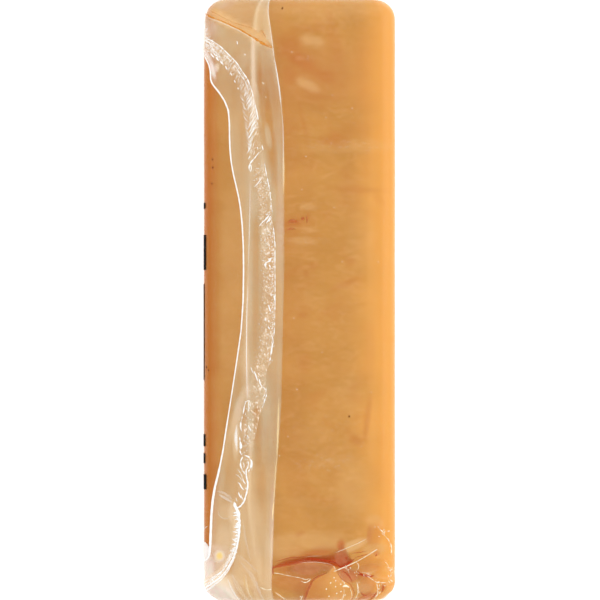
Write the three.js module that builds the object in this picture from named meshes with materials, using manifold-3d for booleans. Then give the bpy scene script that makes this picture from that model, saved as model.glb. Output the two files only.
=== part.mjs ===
// A bar of smoked mozzarella, shrunk tight in a clear bag. The bag's sealed tail lies folded over the
// upper face: its root runs along the middle of the bar, its cut edge bows in between two ears, and the
// ears wrap over the left edge and round both ends. The near end of the face has a cleft, lumps and folds.
// Millimetres. +X is across the bar, +Y along it and +Z up. The origin is the middle of the underside.

import * as THREE from 'three';
import Module from 'manifold-3d';
import { LoftGeometry } from 'three/addons/geometries/LoftGeometry.js';
import { mergeVertices } from 'three/addons/utils/BufferGeometryUtils.js';

// Bar
const BAR_LENGTH = 149.9;
const BAR_WIDTH = 47.75;
const FACE_HEIGHT = 28.4;
const EDGE_RADIUS = 4;
const CORNER_RADIUS = 5;
const FACE_WAVE = 0.2;
const SIDE_GRIP = 0.35;
const EAR_BED = 0.75;

// Ends: a shallow dish from the rim to the middle, with a pleat of film that runs in from each corner
const END_DISH = 0.9;
const END_DISH_RUN = 0.6;
const END_REACH = 19;
const PLEAT_PLACE = 0.45;
const PLEAT_FROM = 4.5;
const PLEAT_TO = 15.5;
const PLEAT_WIDTH = 1.5;
const PLEAT_RISE = 0.9;

// Tail of the bag: how far it stands off the face and how deep its solid is sunk into the bar
const FILM_RISE = 0.65;
const CUT_EDGE_RISE = 0.95;
const CUT_EDGE_WIDTH = 0.5;
const SEAL_RISE = 1.2;
const SEAL_BUMP = 0.3;
const SEAL_TROUGH = 0.25;
const SEAL_WIDTH = 3.3;
const ROOT_RISE = 1.35;
const FLANK = 0.4;
const SOFT_FOLD_RISE = 0.3;
const SOFT_FOLD_WIDTH = 1.1;
const SIDE_SHARE = 0.5;
const END_SHARE = 0.75;
const SINK = 0.8;

// Lines of the tail, as [walked across from the middle of the face, walked along from the middle of the bar]
const CUT_EDGE = [
  [-42, -80], [-34, -71.5], [-25.4, -65.8], [-22.5, -60], [-21.8, -51], [-18.2, -31], [-15.2, -11.5],
  [-13.9, 7.5], [-15.9, 29], [-17.4, 45], [-18.9, 50.7], [-21.3, 54.5], [-25, 61.8], [-33, 70], [-41, 80],
];
const SEAL_LINE = [
  [-33, -80], [-26, -73.5], [-19, -68.8], [-15.4, -61.5], [-15.4, -53], [-12.8, -46], [-11.6, -37],
  [-9.3, -26], [-7.3, -15], [-5.8, 5], [-6.8, 25], [-9.6, 36.5], [-10.2, 44.5], [-12.8, 54.8], [-17.8, 61.4],
  [-25, 66.8], [-33, 80],
];
const ROOT_LINE = [
  [-7.4, -80], [-6.7, -62], [-6, -46], [-4.3, -14], [-3.7, 20], [-4.3, 48], [-6.5, 64], [-8.7, 80],
];
const SOFT_FOLD = [[-10, -80], [-12.2, -50], [-13.3, -16], [-12.6, 20], [-11.8, 59], [-10.8, 80]];

// Cleft across the near end of the face: places across it, each with its far lip, near lip and depth
const CLEFT = {
  across: [-7.2, 0.2, 5, 8.3, 10.3, 11.9, 12.6],
  farLip: [-66.5, -64, -62.9, -62.2, -60.3, -63.5, -66.2],
  nearLip: [-66.7, -65.7, -65.4, -65.5, -66.3, -66.7, -66.8],
  depth: [0.4, 1.9, 2.8, 3.1, 3.2, 2.6, 1.2],
};
const CLEFT_FLOOR = [0.3, 0.65];
const CLEFT_LIP = 0.2;

// Lumps and hollows of the near end and folds of film, each lying on the skin from one place to another,
// as [across, along], with its half width and how far it rises or sinks
const SWELLINGS = [
  { from: [8.3, -67.2], to: [9.6, -76], width: 3.4, rise: 1 },
  { from: [17.3, -56.6], to: [21.4, -61], width: 2.2, rise: 0.7 },
  { from: [12.4, -66.4], to: [18.6, -64.3], width: 1.7, rise: 0.5 },
  { from: [8.2, -67.8], to: [20, -61.6], width: 0.6, rise: 1.1 },
  { from: [18.7, -55], to: [21.6, -61.4], width: 0.6, rise: 0.9 },
  { from: [21.2, -60.2], to: [22.8, -66.4], width: 0.6, rise: 0.8 },
  { from: [12.8, -65.4], to: [17.6, -75], width: 0.7, rise: 0.9 },
  { from: [19, -65.8], to: [21, -75], width: 0.6, rise: 0.8 },
  { from: [-7, -67.4], to: [3.6, -70.8], width: 0.6, rise: 0.8 },
  { from: [0.6, -72], to: [3.6, -77], width: 0.7, rise: 0.8 },
];
const HOLLOWS = [
  { from: [-1.6, -68.3], to: [8, -67.4], width: 1.7, rise: 0.9 },
  { from: [12.6, -67], to: [16.6, -71.4], width: 1.5, rise: 0.7 },
];

// Mesh
const BAR_STEPS = 36;
const CORNER_STEPS = 4;
const END_RINGS = [0.15, 0.36, 0.6, 0.84, 1];
const RIBS = 66;
const TAIL_STEPS = 7;
const SWELLING_STEPS = 9;
const SWELLING_SIDES = [0.97, 0.7, 0.3, -0.3, -0.7, -0.97];
const CLEFT_STEPS = 24;
const TOLERANCE = 0.01;

const halfWidth = BAR_WIDTH / 2;
const straight = BAR_LENGTH / 2 - CORNER_RADIUS;
const cornerArc = (Math.PI / 2) * CORNER_RADIUS;
const { euclideanModulo, lerp, smoothstep } = THREE.MathUtils;

// Distances walked over the section from the middle of the face to where its flats and curves meet
const edgeArc = (Math.PI / 2) * EDGE_RADIUS;
const faceEnd = halfWidth - EDGE_RADIUS;
const sideTop = faceEnd + edgeArc;
const sideFoot = sideTop + FACE_HEIGHT - 2 * EDGE_RADIUS;
const underEnd = sideFoot + edgeArc;

const wasm = await Module();
wasm.setup();

// A closed geometry as a solid that can be joined and cut.
function solid(geometry) {
  const bare = new THREE.BufferGeometry();
  bare.setAttribute('position', geometry.getAttribute('position'));
  bare.setIndex(geometry.getIndex());
  const merged = mergeVertices(bare, 1e-4);
  return new wasm.Manifold(new wasm.Mesh({
    numProp: 3,
    vertProperties: merged.attributes.position.array,
    triVerts: new Uint32Array(merged.index.array),
    tolerance: TOLERANCE,
  }));
}

// A solid as a geometry for drawing.
function drawn(joined) {
  const mesh = joined.getMesh();
  const geometry = new THREE.BufferGeometry();
  geometry.setAttribute('position', new THREE.BufferAttribute(mesh.vertProperties, mesh.numProp));
  geometry.setIndex(new THREE.BufferAttribute(mesh.triVerts, 1));
  geometry.computeVertexNormals();
  return geometry;
}

// The bar's section, from the middle of its upper face over the right side, the underside and the left.
function barOutline() {
  const upper = FACE_HEIGHT - EDGE_RADIUS;
  const quarter = Math.PI / 2;
  const outline = new THREE.Path();
  outline.moveTo(0, FACE_HEIGHT);
  outline.lineTo(faceEnd, FACE_HEIGHT);
  outline.absarc(faceEnd, upper, EDGE_RADIUS, quarter, 0, true);
  outline.lineTo(halfWidth, EDGE_RADIUS);
  outline.absarc(faceEnd, EDGE_RADIUS, EDGE_RADIUS, 0, -quarter, true);
  outline.lineTo(-faceEnd, 0);
  outline.absarc(-faceEnd, EDGE_RADIUS, EDGE_RADIUS, -quarter, -2 * quarter, true);
  outline.lineTo(-halfWidth, upper);
  outline.absarc(-faceEnd, upper, EDGE_RADIUS, 2 * quarter, quarter, true);
  outline.lineTo(0, FACE_HEIGHT);
  return outline;
}

const outline = barOutline();
const girth = outline.getLength();

// A point of the section and its outward direction, at a distance walked from the middle of the face.
function onSection(walked) {
  const share = euclideanModulo(walked, girth) / girth;
  const point = outline.getPoint(share);
  const tangent = outline.getTangent(share);
  return { point, outward: new THREE.Vector2(-tangent.y, tangent.x) };
}

function bell(distance, width) {
  return Math.exp(-((distance / width) ** 2));
}

// The upper face is gently wavy.
function faceRelief(x, y) {
  return FACE_WAVE * Math.sin(0.09 * y + 0.11 * x) * Math.cos(0.043 * y - 0.07 * x);
}

// The sides pull in a little where the bag grips them, and on the left the ears bed into the cheese.
function sideRelief(x, y, z) {
  const wave = 0.5 + 0.5 * Math.sin(0.12 * y + Math.sign(x)) * Math.cos(0.05 * y + 0.2 * z);
  const ear = x < 0 ? EAR_BED * smoothstep(Math.abs(y), 50, 62) : 0;
  return -SIDE_GRIP * wave * bell(z - FACE_HEIGHT / 2, 9) - ear;
}

// A point of the bar's skin, lifted off it if asked. It is placed by the distance walked across from the
// middle of the face and the distance walked along, over the rounded end and on towards the end's middle.
function onSkin(across, along, rise = 0) {
  const end = Math.sign(along);
  const past = Math.max(Math.abs(along) - straight, 0);
  const turn = Math.min(past, cornerArc) / CORNER_RADIUS;
  const share = 1 - Math.max(past - cornerArc, 0) / END_REACH;
  const inset = 1 - Math.cos(turn);
  const middle = FACE_HEIGHT / 2;
  const y = end * (Math.min(Math.abs(along), straight) + CORNER_RADIUS * Math.sin(turn));
  const { point, outward } = onSection(across);
  const upward = Math.max(outward.y, 0) ** 2;
  const relief = upward * faceRelief(point.x, y) + outward.x ** 2 * sideRelief(point.x, y, point.y);
  const lift = rise > 0 ? rise * lerp(SIDE_SHARE, 1, upward) : rise;
  point.addScaledVector(outward, relief + lift * Math.cos(turn));
  const x = point.x * (1 - (inset * CORNER_RADIUS) / halfWidth) * share;
  const z = middle + (point.y - middle) * (1 - (inset * EDGE_RADIUS) / middle) * share;
  const outOfEnd = Math.sin(turn) * (lift > 0 ? lift * END_SHARE : lift);
  const dish = END_DISH * smoothstep(1 - share, 0, END_DISH_RUN);
  return new THREE.Vector3(x, y + end * (outOfEnd - dish), z);
}

// Evenly spaced places from one to another, the first included and the last left out.
function spread(from, to, count) {
  return Array.from({ length: count }, (_, step) => lerp(from, to, step / count));
}

// The bar, as sections that run along it and shrink to a point in the middle of each end.
function barSolid() {
  const columns = [
    ...spread(-faceEnd, faceEnd, 12),
    ...spread(faceEnd, sideTop, 5),
    ...spread(sideTop, sideFoot, 4),
    ...spread(sideFoot, underEnd, 3),
    ...spread(underEnd, girth - underEnd, 3),
    ...spread(girth - underEnd, girth - sideFoot, 3),
    ...spread(girth - sideFoot, girth - sideTop, 4),
    ...spread(girth - sideTop, girth - faceEnd, 5),
  ];
  const corner = spread(straight, straight + cornerArc, CORNER_STEPS);
  const rings = [0, ...END_RINGS].map((share) => straight + cornerArc + share * END_REACH);
  const over = [...corner, ...rings];
  const between = spread(-straight, straight, BAR_STEPS).slice(1);
  const rows = [...over.toReversed().map((along) => -along), ...between, ...over];
  return solid(new LoftGeometry(rows.map((along) => columns.map((across) => onSkin(across, along)))));
}

function line(points) {
  return new THREE.SplineCurve(points.map((point) => new THREE.Vector2(...point)));
}

// The tail, as ribs that run from its cut edge over the weld to its root and back underneath. At both
// ends it closes to a line inside the bar.
function tailSolid() {
  const cutEdge = line(CUT_EDGE);
  const sealLine = line(SEAL_LINE);
  const rootLine = line(ROOT_LINE);
  const softFold = line(SOFT_FOLD);
  const shift = (point, across) => new THREE.Vector2(point.x + across, point.y);
  const between = (one, other, share) => one.clone().lerp(other, share);
  const rib = (share, closed) => {
    const cut = cutEdge.getPointAt(share);
    const inner = sealLine.getPointAt(share);
    const root = rootLine.getPointAt(share);
    const width = SEAL_WIDTH * (1 + 0.22 * Math.sin(9 * share) + 0.12 * Math.sin(41 * share));
    const outer = shift(inner, -width);
    const weld = SEAL_RISE + SEAL_BUMP * Math.sin(83 * share) * Math.cos(31 * share);
    const across = [
      [cut, CUT_EDGE_RISE],
      [shift(cut, CUT_EDGE_WIDTH), CUT_EDGE_RISE],
      [shift(cut, CUT_EDGE_WIDTH + FLANK), FILM_RISE],
      [between(cut, outer, 0.6), FILM_RISE],
      [shift(outer, -FLANK / 2), FILM_RISE],
      [shift(outer, FLANK / 2), weld],
      [between(outer, inner, 0.5), weld - SEAL_TROUGH],
      [shift(inner, -FLANK / 2), weld],
      [shift(inner, FLANK / 2), FILM_RISE],
      ...spread(0.12, 1, TAIL_STEPS).map((place) => [between(inner, root, place), FILM_RISE]),
      [shift(root, -FLANK), ROOT_RISE],
      [root, ROOT_RISE],
    ];
    const top = across.map(([place, rise]) => {
      const soft = SOFT_FOLD_RISE * bell(place.x - softFold.getPointAt(share).x, SOFT_FOLD_WIDTH);
      const calm = smoothstep(Math.abs(place.y), straight - 3, straight + cornerArc);
      return onSkin(place.x, place.y, closed ? -SINK : lerp(rise + soft, FILM_RISE, calm));
    });
    const under = across.toReversed().map(([place]) => onSkin(place.x, place.y, -SINK));
    return [...top, ...under];
  };
  const open = [...spread(0, 1, RIBS), 1].map((share) => rib(share, false));
  return solid(new LoftGeometry([rib(0, true), ...open, rib(1, true)]));
}

// The cleft, as sections across the bar that narrow from the two lips to a floor near the far one.
function cleftSolid() {
  const through = (values) => new THREE.CubicInterpolant(CLEFT.across, values, 1);
  const [farLip, nearLip, depth] = [CLEFT.farLip, CLEFT.nearLip, CLEFT.depth].map(through);
  const section = (x) => {
    const far = farLip.evaluate(x)[0];
    const near = nearLip.evaluate(x)[0];
    const floor = FACE_HEIGHT - depth.evaluate(x)[0];
    const [floorFar, floorNear] = CLEFT_FLOOR.map((share) => lerp(far, near, share));
    return [
      [near, FACE_HEIGHT + 2],
      [near, FACE_HEIGHT - CLEFT_LIP],
      [floorNear, floor],
      [floorFar, floor],
      [far, FACE_HEIGHT - CLEFT_LIP],
      [far, FACE_HEIGHT + 2],
    ].map(([y, z]) => new THREE.Vector3(x, y, z));
  };
  const places = [...spread(CLEFT.across[0], CLEFT.across.at(-1), CLEFT_STEPS), CLEFT.across.at(-1)];
  return solid(new LoftGeometry(places.map(section), { capStart: true, capEnd: true }));
}

// A swelling of the skin, round in its section and tapered to both ends, or with way -1 a hollow to cut.
function swellingSolid({ from, to, width, rise }, way) {
  const start = new THREE.Vector2(...from);
  const run = new THREE.Vector2(...to).sub(start);
  const aside = new THREE.Vector2(-run.y, run.x).normalize();
  const section = (step) => {
    const share = (step + 0.5) / SWELLING_STEPS;
    const swell = Math.sqrt(1 - (2 * share - 1) ** 2);
    const lying = (side, lift) => {
      const place = start.clone().addScaledVector(run, share).addScaledVector(aside, side * width * swell);
      return onSkin(place.x, place.y, way * lift);
    };
    const round = SWELLING_SIDES.map((side) => lying(side, rise * swell * Math.sqrt(1 - side ** 2)));
    const ring = [...round, lying(-1, -SINK), lying(1, -SINK)];
    return way > 0 ? ring : ring.reverse();
  };
  const sections = Array.from({ length: SWELLING_STEPS }, (_, step) => section(step));
  return solid(new LoftGeometry(sections, { capStart: true, capEnd: true }));
}

// The pleats on both ends, each running in from a rounded long edge.
function pleats() {
  const edges = [faceEnd, sideFoot].map((start) => start + PLEAT_PLACE * edgeArc);
  const rim = straight + cornerArc - PLEAT_FROM;
  return [-1, 1].flatMap((end) => edges.flatMap((edge) => [-edge, edge].map((across) => ({
    from: [across, end * rim],
    to: [across, end * (rim + PLEAT_TO)],
    width: PLEAT_WIDTH,
    rise: PLEAT_RISE,
  }))));
}

function packSolid() {
  const bar = HOLLOWS.reduce((rest, hollow) => rest.subtract(swellingSolid(hollow, -1)), barSolid());
  const raised = [...SWELLINGS, ...pleats()];
  const swollen = raised.reduce((sum, swelling) => sum.add(swellingSolid(swelling, 1)), bar);
  return swollen.subtract(cleftSolid()).add(tailSolid());
}

const film = new THREE.MeshStandardMaterial({ color: 0xcc9254, roughness: 0.35, metalness: 0 });
const vacuumPack = new THREE.Mesh(drawn(packSolid()), film);
vacuumPack.name = 'vacuum_pack';

const mozzarella = new THREE.Group();
mozzarella.add(vacuumPack);

export default mozzarella;
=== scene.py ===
import math

import bpy
import numpy as np
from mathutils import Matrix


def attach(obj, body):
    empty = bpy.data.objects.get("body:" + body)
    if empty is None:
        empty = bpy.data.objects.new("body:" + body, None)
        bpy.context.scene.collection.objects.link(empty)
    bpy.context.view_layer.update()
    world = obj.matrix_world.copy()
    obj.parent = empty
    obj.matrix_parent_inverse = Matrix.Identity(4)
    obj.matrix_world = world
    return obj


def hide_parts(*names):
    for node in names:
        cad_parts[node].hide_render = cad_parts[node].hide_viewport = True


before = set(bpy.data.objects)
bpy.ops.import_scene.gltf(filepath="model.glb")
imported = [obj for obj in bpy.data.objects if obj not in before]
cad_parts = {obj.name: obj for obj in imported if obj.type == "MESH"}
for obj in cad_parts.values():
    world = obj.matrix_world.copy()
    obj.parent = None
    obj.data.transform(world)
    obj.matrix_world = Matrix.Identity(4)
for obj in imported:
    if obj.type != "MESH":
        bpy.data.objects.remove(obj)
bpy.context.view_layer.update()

# The view: a pale floor under soft studio light, looked at from straight above through a long lens. At the
# height of the view plane, close under the bar's face, the picture is a square of 150 mm. Metres are used.

MM = 0.001
CAMERA_HEIGHT = 1.2
VIEW_PLANE = 0.024
VIEW_SIZE = 0.150
VIEW_CENTRE = 0.000125
SENSOR_MM = 36.0
CLIP_START = 0.01
SKY = (0.97, 0.985, 1.0, 1)
SKY_STRENGTH = 0.8
FLOOR_SIZE = 4
FLOOR_HEIGHT = -0.0003
FLOOR_GLOW = 0.45
LAMP_AIM = (0, 0, 0.01)
# Each lamp's name, place, width and length in metres, and power in watts
LAMPS = [
    ("key_light", (0.75, 0.2, 0.62), (0.5, 0.9), 3.7),
    ("fill_light", (-0.8, -0.1, 0.8), (0.6, 0.9), 2.6),
    ("far_light", (0.0, 0.9, 0.8), (0.9, 0.4), 1.2),
]


def tone(red, green, blue):
    """A screen colour from 0 to 255 as the linear colour that a shader takes."""
    screen = np.array([red, green, blue]) / 255
    linear = np.where(screen <= 0.04045, screen / 12.92, ((screen + 0.055) / 1.055) ** 2.4)
    return tuple(float(c) for c in linear) + (1.0,)


class Signal:
    """A value in a node tree that takes part in Python's sums."""

    def __init__(self, finish, socket):
        self.finish = finish
        self.socket = socket

    def combined(self, operation, one, other):
        return self.finish.add("ShaderNodeMath", {"operation": operation}, {0: one, 1: other})

    def __add__(self, other):
        return self.combined("ADD", self, other)

    def __radd__(self, other):
        return self.combined("ADD", other, self)

    def __sub__(self, other):
        return self.combined("SUBTRACT", self, other)

    def __mul__(self, other):
        return self.combined("MULTIPLY", self, other)

    def __rmul__(self, other):
        return self.combined("MULTIPLY", other, self)

    def __pow__(self, other):
        return self.combined("POWER", self, other)


class Finish:
    """A procedural material that is put together node by node."""

    def __init__(self, name):
        self.material = bpy.data.materials.new(name)
        self.material.use_nodes = True
        self.tree = self.material.node_tree
        self.tree.nodes.clear()

    def add(self, kind, settings=None, values=None, out=0):
        node = self.tree.nodes.new(kind)
        for name, setting in (settings or {}).items():
            setattr(node, name, setting)
        for name, value in (values or {}).items():
            if isinstance(value, Signal):
                self.tree.links.new(value.socket, node.inputs[name])
            else:
                node.inputs[name].default_value = value
        return Signal(self, node.outputs[out])

    def place(self, stretch=(1, 1, 1), turn=0.0):
        """Object coordinates in millimetres, turned by degrees and stretched if asked."""
        coords = self.add("ShaderNodeTexCoord", out="Object")
        values = {"Vector": coords, "Scale": tuple(MM * s for s in stretch)}
        values["Rotation"] = (0, 0, math.radians(turn))
        return self.add("ShaderNodeMapping", {"vector_type": "TEXTURE"}, values)

    def noise(self, size, detail=3.0, stretch=(1, 1, 1), roughness=0.5, distortion=0.0, turn=0.0):
        """Cloudy noise whose blobs are about this many millimetres across."""
        values = {"Vector": self.place(stretch, turn), "Scale": 1 / size, "Detail": detail}
        values.update({"Roughness": roughness, "Distortion": distortion})
        return self.add("ShaderNodeTexNoise", {"noise_dimensions": "3D"}, values)

    def span(self, value, low, high, out_low=0.0, out_high=1.0):
        """The value from low to high, eased onto another range."""
        values = {"Value": value, "From Min": low, "From Max": high, "To Min": out_low, "To Max": out_high}
        return self.add("ShaderNodeMapRange", {"interpolation_type": "SMOOTHSTEP"}, values)

    def mixed(self, share, one, other):
        """One colour with a share of another."""
        return self.add("ShaderNodeMix", {"data_type": "RGBA"}, {0: share, 6: one, 7: other}, out=2)

    def attribute(self, name):
        return self.add("ShaderNodeAttribute", {"attribute_name": name}, out="Fac")

    def axis(self, letter):
        """How far along one axis a place is, in millimetres."""
        return self.add("ShaderNodeSeparateXYZ", None, {0: self.place()}, out=letter)

    def done(self, surface):
        output = self.tree.nodes.new("ShaderNodeOutputMaterial")
        self.tree.links.new(surface.socket, output.inputs["Surface"])
        return self.material


scene = bpy.context.scene
scene.view_settings.view_transform = "Standard"

bpy.ops.object.camera_add(location=(VIEW_CENTRE, 0, CAMERA_HEIGHT), rotation=(0, 0, 0))
camera = bpy.context.object
camera.data.sensor_width = SENSOR_MM
camera.data.lens = SENSOR_MM * (CAMERA_HEIGHT - VIEW_PLANE) / VIEW_SIZE
camera.data.clip_start = CLIP_START
scene.camera = camera

world = bpy.data.worlds.new("studio")
world.use_nodes = True
world.node_tree.nodes["Background"].inputs["Color"].default_value = SKY
world.node_tree.nodes["Background"].inputs["Strength"].default_value = SKY_STRENGTH
scene.world = world

for name, place, size, power in LAMPS:
    bpy.ops.object.light_add(type="AREA", location=place)
    lamp = bpy.context.object
    lamp.name = name
    lamp.data.shape = "RECTANGLE"
    lamp.data.size, lamp.data.size_y = size
    lamp.data.energy = power
    x, y, z = np.subtract(LAMP_AIM, place)
    lamp.rotation_euler = (math.atan2(math.hypot(x, y), -z), 0, math.atan2(y, x) - math.pi / 2)

bpy.ops.mesh.primitive_plane_add(size=FLOOR_SIZE, location=(0, 0, FLOOR_HEIGHT))
floor = bpy.context.object
floor.name = "floor"
paper = Finish("white_paper")
paper_values = {"Base Color": tone(244, 245, 246), "Roughness": 1.0, "Specular IOR Level": 0.0}
paper_values.update({"Emission Color": (1, 1, 1, 1), "Emission Strength": FLOOR_GLOW})
floor.data.materials.append(paper.done(paper.add("ShaderNodeBsdfPrincipled", None, paper_values)))

# The cheese: a bar of smoked mozzarella, firm, waxy stretched curd, tan from the smoke. It is streaked
# across where the curd was folded, and it has a torn cleft and soft lumps at its near end. Sizes in mm.

BAR_LENGTH = 150.2
BAR_WIDTH = 47.75
FACE_HEIGHT = 28.4
EDGE_RADIUS = 4.0
CORNER_RADIUS = 5.0
# The slow waves of the face, how far the sides are drawn in and over what height, and the shallow bed of
# the tail's ears on the left side, which starts between these distances from the middle
FACE_WAVE = 0.2
SIDE_GRIP = 0.3
GRIP_WIDTH = 7.5
EAR_BED = 0.35
EAR_BED_RUN = (62, 66)
# Each end is a shallow dish. What lies on the skin stands lower on the sides and ends than on the face.
END_DISH = 0.9
END_DISH_RUN = 0.6
END_REACH = 19.0
END_EASE = 0.3
SIDE_SHARE = 0.5
END_SHARE = 0.75

HALF_WIDTH = BAR_WIDTH / 2
STRAIGHT = BAR_LENGTH / 2 - CORNER_RADIUS
CORNER_ARC = math.pi / 2 * CORNER_RADIUS
EDGE_ARC = math.pi / 2 * EDGE_RADIUS
FACE_END = HALF_WIDTH - EDGE_RADIUS
SIDE_TOP = FACE_END + EDGE_ARC
SIDE_FOOT = SIDE_TOP + FACE_HEIGHT - 2 * EDGE_RADIUS
UNDER_END = SIDE_FOOT + EDGE_ARC
GIRTH = 2 * (UNDER_END + FACE_END)
FULL_ALONG = STRAIGHT + CORNER_ARC + END_REACH

# A place on the face can be given by the pixel at which it is seen
PIXEL = 0.25
MIDDLE_X = 299.5
MIDDLE_Y = 300.0

LATTICE = 128
MERGE_REACH = 0.002 * MM


def smooth(value, low, high):
    """0 up to low, 1 from high on, eased between them."""
    share = np.clip((value - low) / (high - low), 0, 1)
    return share * share * (3 - 2 * share)


def bell(distance, width):
    return np.exp(-((distance / width) ** 2))


def on_section(walked):
    """The bar's section, by the distance walked over it from the middle of the face."""
    side = np.where(walked < 0, -1.0, 1.0)
    far = np.abs(walked)
    top = np.clip((far - FACE_END) / EDGE_RADIUS, 0, math.pi / 2)
    foot = np.clip((far - SIDE_FOOT) / EDGE_RADIUS, 0, math.pi / 2)
    x = np.minimum(far, FACE_END) + EDGE_RADIUS * (np.sin(top) - 1 + np.cos(foot))
    x = x - np.maximum(far - UNDER_END, 0)
    wall = np.clip(far - SIDE_TOP, 0, SIDE_FOOT - SIDE_TOP)
    z = FACE_HEIGHT - EDGE_RADIUS * (1 - np.cos(top)) - wall - EDGE_RADIUS * np.sin(foot)
    turn = top + foot
    return side * x, z, side * np.sin(turn), np.cos(turn)


def on_skin(across, along, lift):
    """A point of the bar's skin, lifted off it, by the distances walked across and along."""
    end = np.sign(along)
    past = np.maximum(np.abs(along) - STRAIGHT, 0)
    turn = np.minimum(past, CORNER_ARC) / CORNER_RADIUS
    share = 1 - np.maximum(past - CORNER_ARC, 0) / END_REACH
    inset = 1 - np.cos(turn)
    middle = FACE_HEIGHT / 2
    y = end * (np.minimum(np.abs(along), STRAIGHT) + CORNER_RADIUS * np.sin(turn))
    x, z, out_x, out_z = on_section(across)
    upward = np.maximum(out_z, 0) ** 2
    face = FACE_WAVE * np.sin(0.09 * y + 0.11 * x) * np.cos(0.043 * y - 0.07 * x)
    wave = 0.5 + 0.5 * np.sin(0.12 * y + np.sign(x)) * np.cos(0.05 * y + 0.2 * z)
    ear = np.where(x < 0, EAR_BED * smooth(np.abs(y), *EAR_BED_RUN), 0)
    side = -SIDE_GRIP * wave * bell(z - middle, GRIP_WIDTH) - ear
    kept = SIDE_SHARE + (1 - SIDE_SHARE) * upward
    end_kept = SIDE_SHARE + (1 - SIDE_SHARE) * upward * smooth(share, 0, END_EASE)
    stand = np.where(lift > 0, lift * kept, lift)
    end_stand = np.where(lift > 0, lift * END_SHARE * end_kept, lift)
    off = upward * face + out_x**2 * side + stand * np.cos(turn)
    x = x + out_x * off
    z = z + out_z * off
    x = x * (1 - inset * CORNER_RADIUS / HALF_WIDTH) * share
    z = middle + (z - middle) * (1 - inset * EDGE_RADIUS / middle) * share
    out = np.sin(turn) * end_stand
    dish = END_DISH * smooth(1 - share, 0, END_DISH_RUN)
    return np.stack([x, y + end * (out - dish), z], axis=-1)


def pixel_of(across, along):
    """The pixel at which a walked place is seen, for what lies on the face."""
    x, _, _, _ = on_section(across)
    past = np.clip((np.abs(along) - STRAIGHT) / CORNER_RADIUS, 0, math.pi / 2)
    y = np.sign(along) * (np.minimum(np.abs(along), STRAIGHT) + CORNER_RADIUS * np.sin(past))
    return MIDDLE_X + x / PIXEL, MIDDLE_Y - y / PIXEL


def speckle(x, y, seed):
    """Smooth random heights from 0 to 1 over a lattice of unit cells."""
    lattice = np.random.default_rng(seed).random((LATTICE, LATTICE))
    cell_x, cell_y = np.floor(x).astype(int), np.floor(y).astype(int)
    ease_x, ease_y = smooth(x - cell_x, 0, 1), smooth(y - cell_y, 0, 1)

    def corner(i, j):
        return lattice[(cell_x + i) % LATTICE, (cell_y + j) % LATTICE]

    low = corner(0, 0) * (1 - ease_x) + corner(1, 0) * ease_x
    high = corner(0, 1) * (1 - ease_x) + corner(1, 1) * ease_x
    return low * (1 - ease_y) + high * ease_y


def moved_grid(name, steps, shape):
    """A grid of faces whose points are moved to their places, merged where they meet."""
    bpy.ops.object.select_all(action="DESELECT")
    bpy.ops.mesh.primitive_grid_add(x_subdivisions=steps[0], y_subdivisions=steps[1], size=1)
    piece = bpy.context.object
    piece.name = piece.data.name = name
    points = np.empty(len(piece.data.vertices) * 3)
    piece.data.vertices.foreach_get("co", points)
    points = points.reshape(-1, 3)
    places, marks = shape(points[:, 0] + 0.5, points[:, 1] + 0.5)
    piece.data.vertices.foreach_set("co", (places * MM).ravel())
    for mark, values in marks.items():
        piece.data.attributes.new(mark, "FLOAT", "POINT").data.foreach_set("value", values)
    bpy.ops.object.mode_set(mode="EDIT")
    bpy.ops.mesh.select_all(action="SELECT")
    bpy.ops.mesh.remove_doubles(threshold=MERGE_REACH)
    bpy.ops.mesh.normals_make_consistent(inside=False)
    bpy.ops.object.mode_set(mode="OBJECT")
    bpy.ops.object.shade_smooth()
    return piece


def dressed(piece, material, slot):
    """Gives a piece its finish and its place in the frame. Film lets light through and throws no shadow."""
    piece.visible_shadow = piece.visible_diffuse = slot != "film"
    piece.data.materials.clear()
    piece.data.materials.append(material)
    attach(piece, "root")
    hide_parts("vacuum_pack")


# The cleft, in pixels of the view: its far lip, its near lip, and its depth in millimetres
CLEFT_FAR = [
    (272, 566), (280, 561), (287, 557.5), (301, 555), (309, 553), (320, 554), (327, 552.5), (334, 549),
    (338, 544), (341, 540), (343, 543), (346, 548), (350, 556), (353, 560),
]
CLEFT_NEAR = [
    (272, 567.5), (287, 564.5), (300, 562), (313, 561), (325, 562.6), (333, 564), (340, 566), (346, 564),
    (353, 560.5),
]
CLEFT_DEPTH = [(272, 0.2), (285, 0.8), (313, 1.6), (327, 2.0), (341, 2.0), (348, 1.4), (353, 0.4)]
# The shares of the way to the near lip over which the cleft deepens, and over which it comes up again
CLEFT_FALL = 0.8
CLEFT_RISE = (0.86, 1.08)

# Lumps and hollows: from and to in pixels, half width at each in millimetres, and rise
LUMPS = [
    ((333, 569), (327, 606), 1.76, 4.48, 1.0), ((376, 528), (374, 540), 1.44, 1.76, 0.7),
    ((350, 566), (374, 557), 1.2, 1.2, 0.5), ((368, 581), (368, 588), 1.76, 1.76, 0.4),
    ((292, 571), (322, 570), 1.28, 1.28, -0.9), ((346, 572), (356, 577), 1.28, 1.28, -0.8),
    ((380, 583), (382, 598), 0.8, 0.96, -0.5),
]

# The borders of the big lump, in pixels from its top down
LUMP_LEFT = [
    (333.7, 564.6), (327.4, 571.6), (316, 576.5), (312, 580), (307.7, 589.8), (305, 600), (303, 612),
]
LUMP_RIGHT = [
    (333.7, 564.6), (336.5, 570.9), (341.4, 577.9), (349.8, 582.8), (355.4, 589.8), (358.2, 600),
    (360, 612),
]
LUMP_START = (564, 566)

# Where the near right corner starts to be crumpled, and where it is at its most crumpled, in pixels
CRUMPLED_ACROSS = (338, 362)
CRUMPLED_ALONG = (545, 572)

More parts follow.
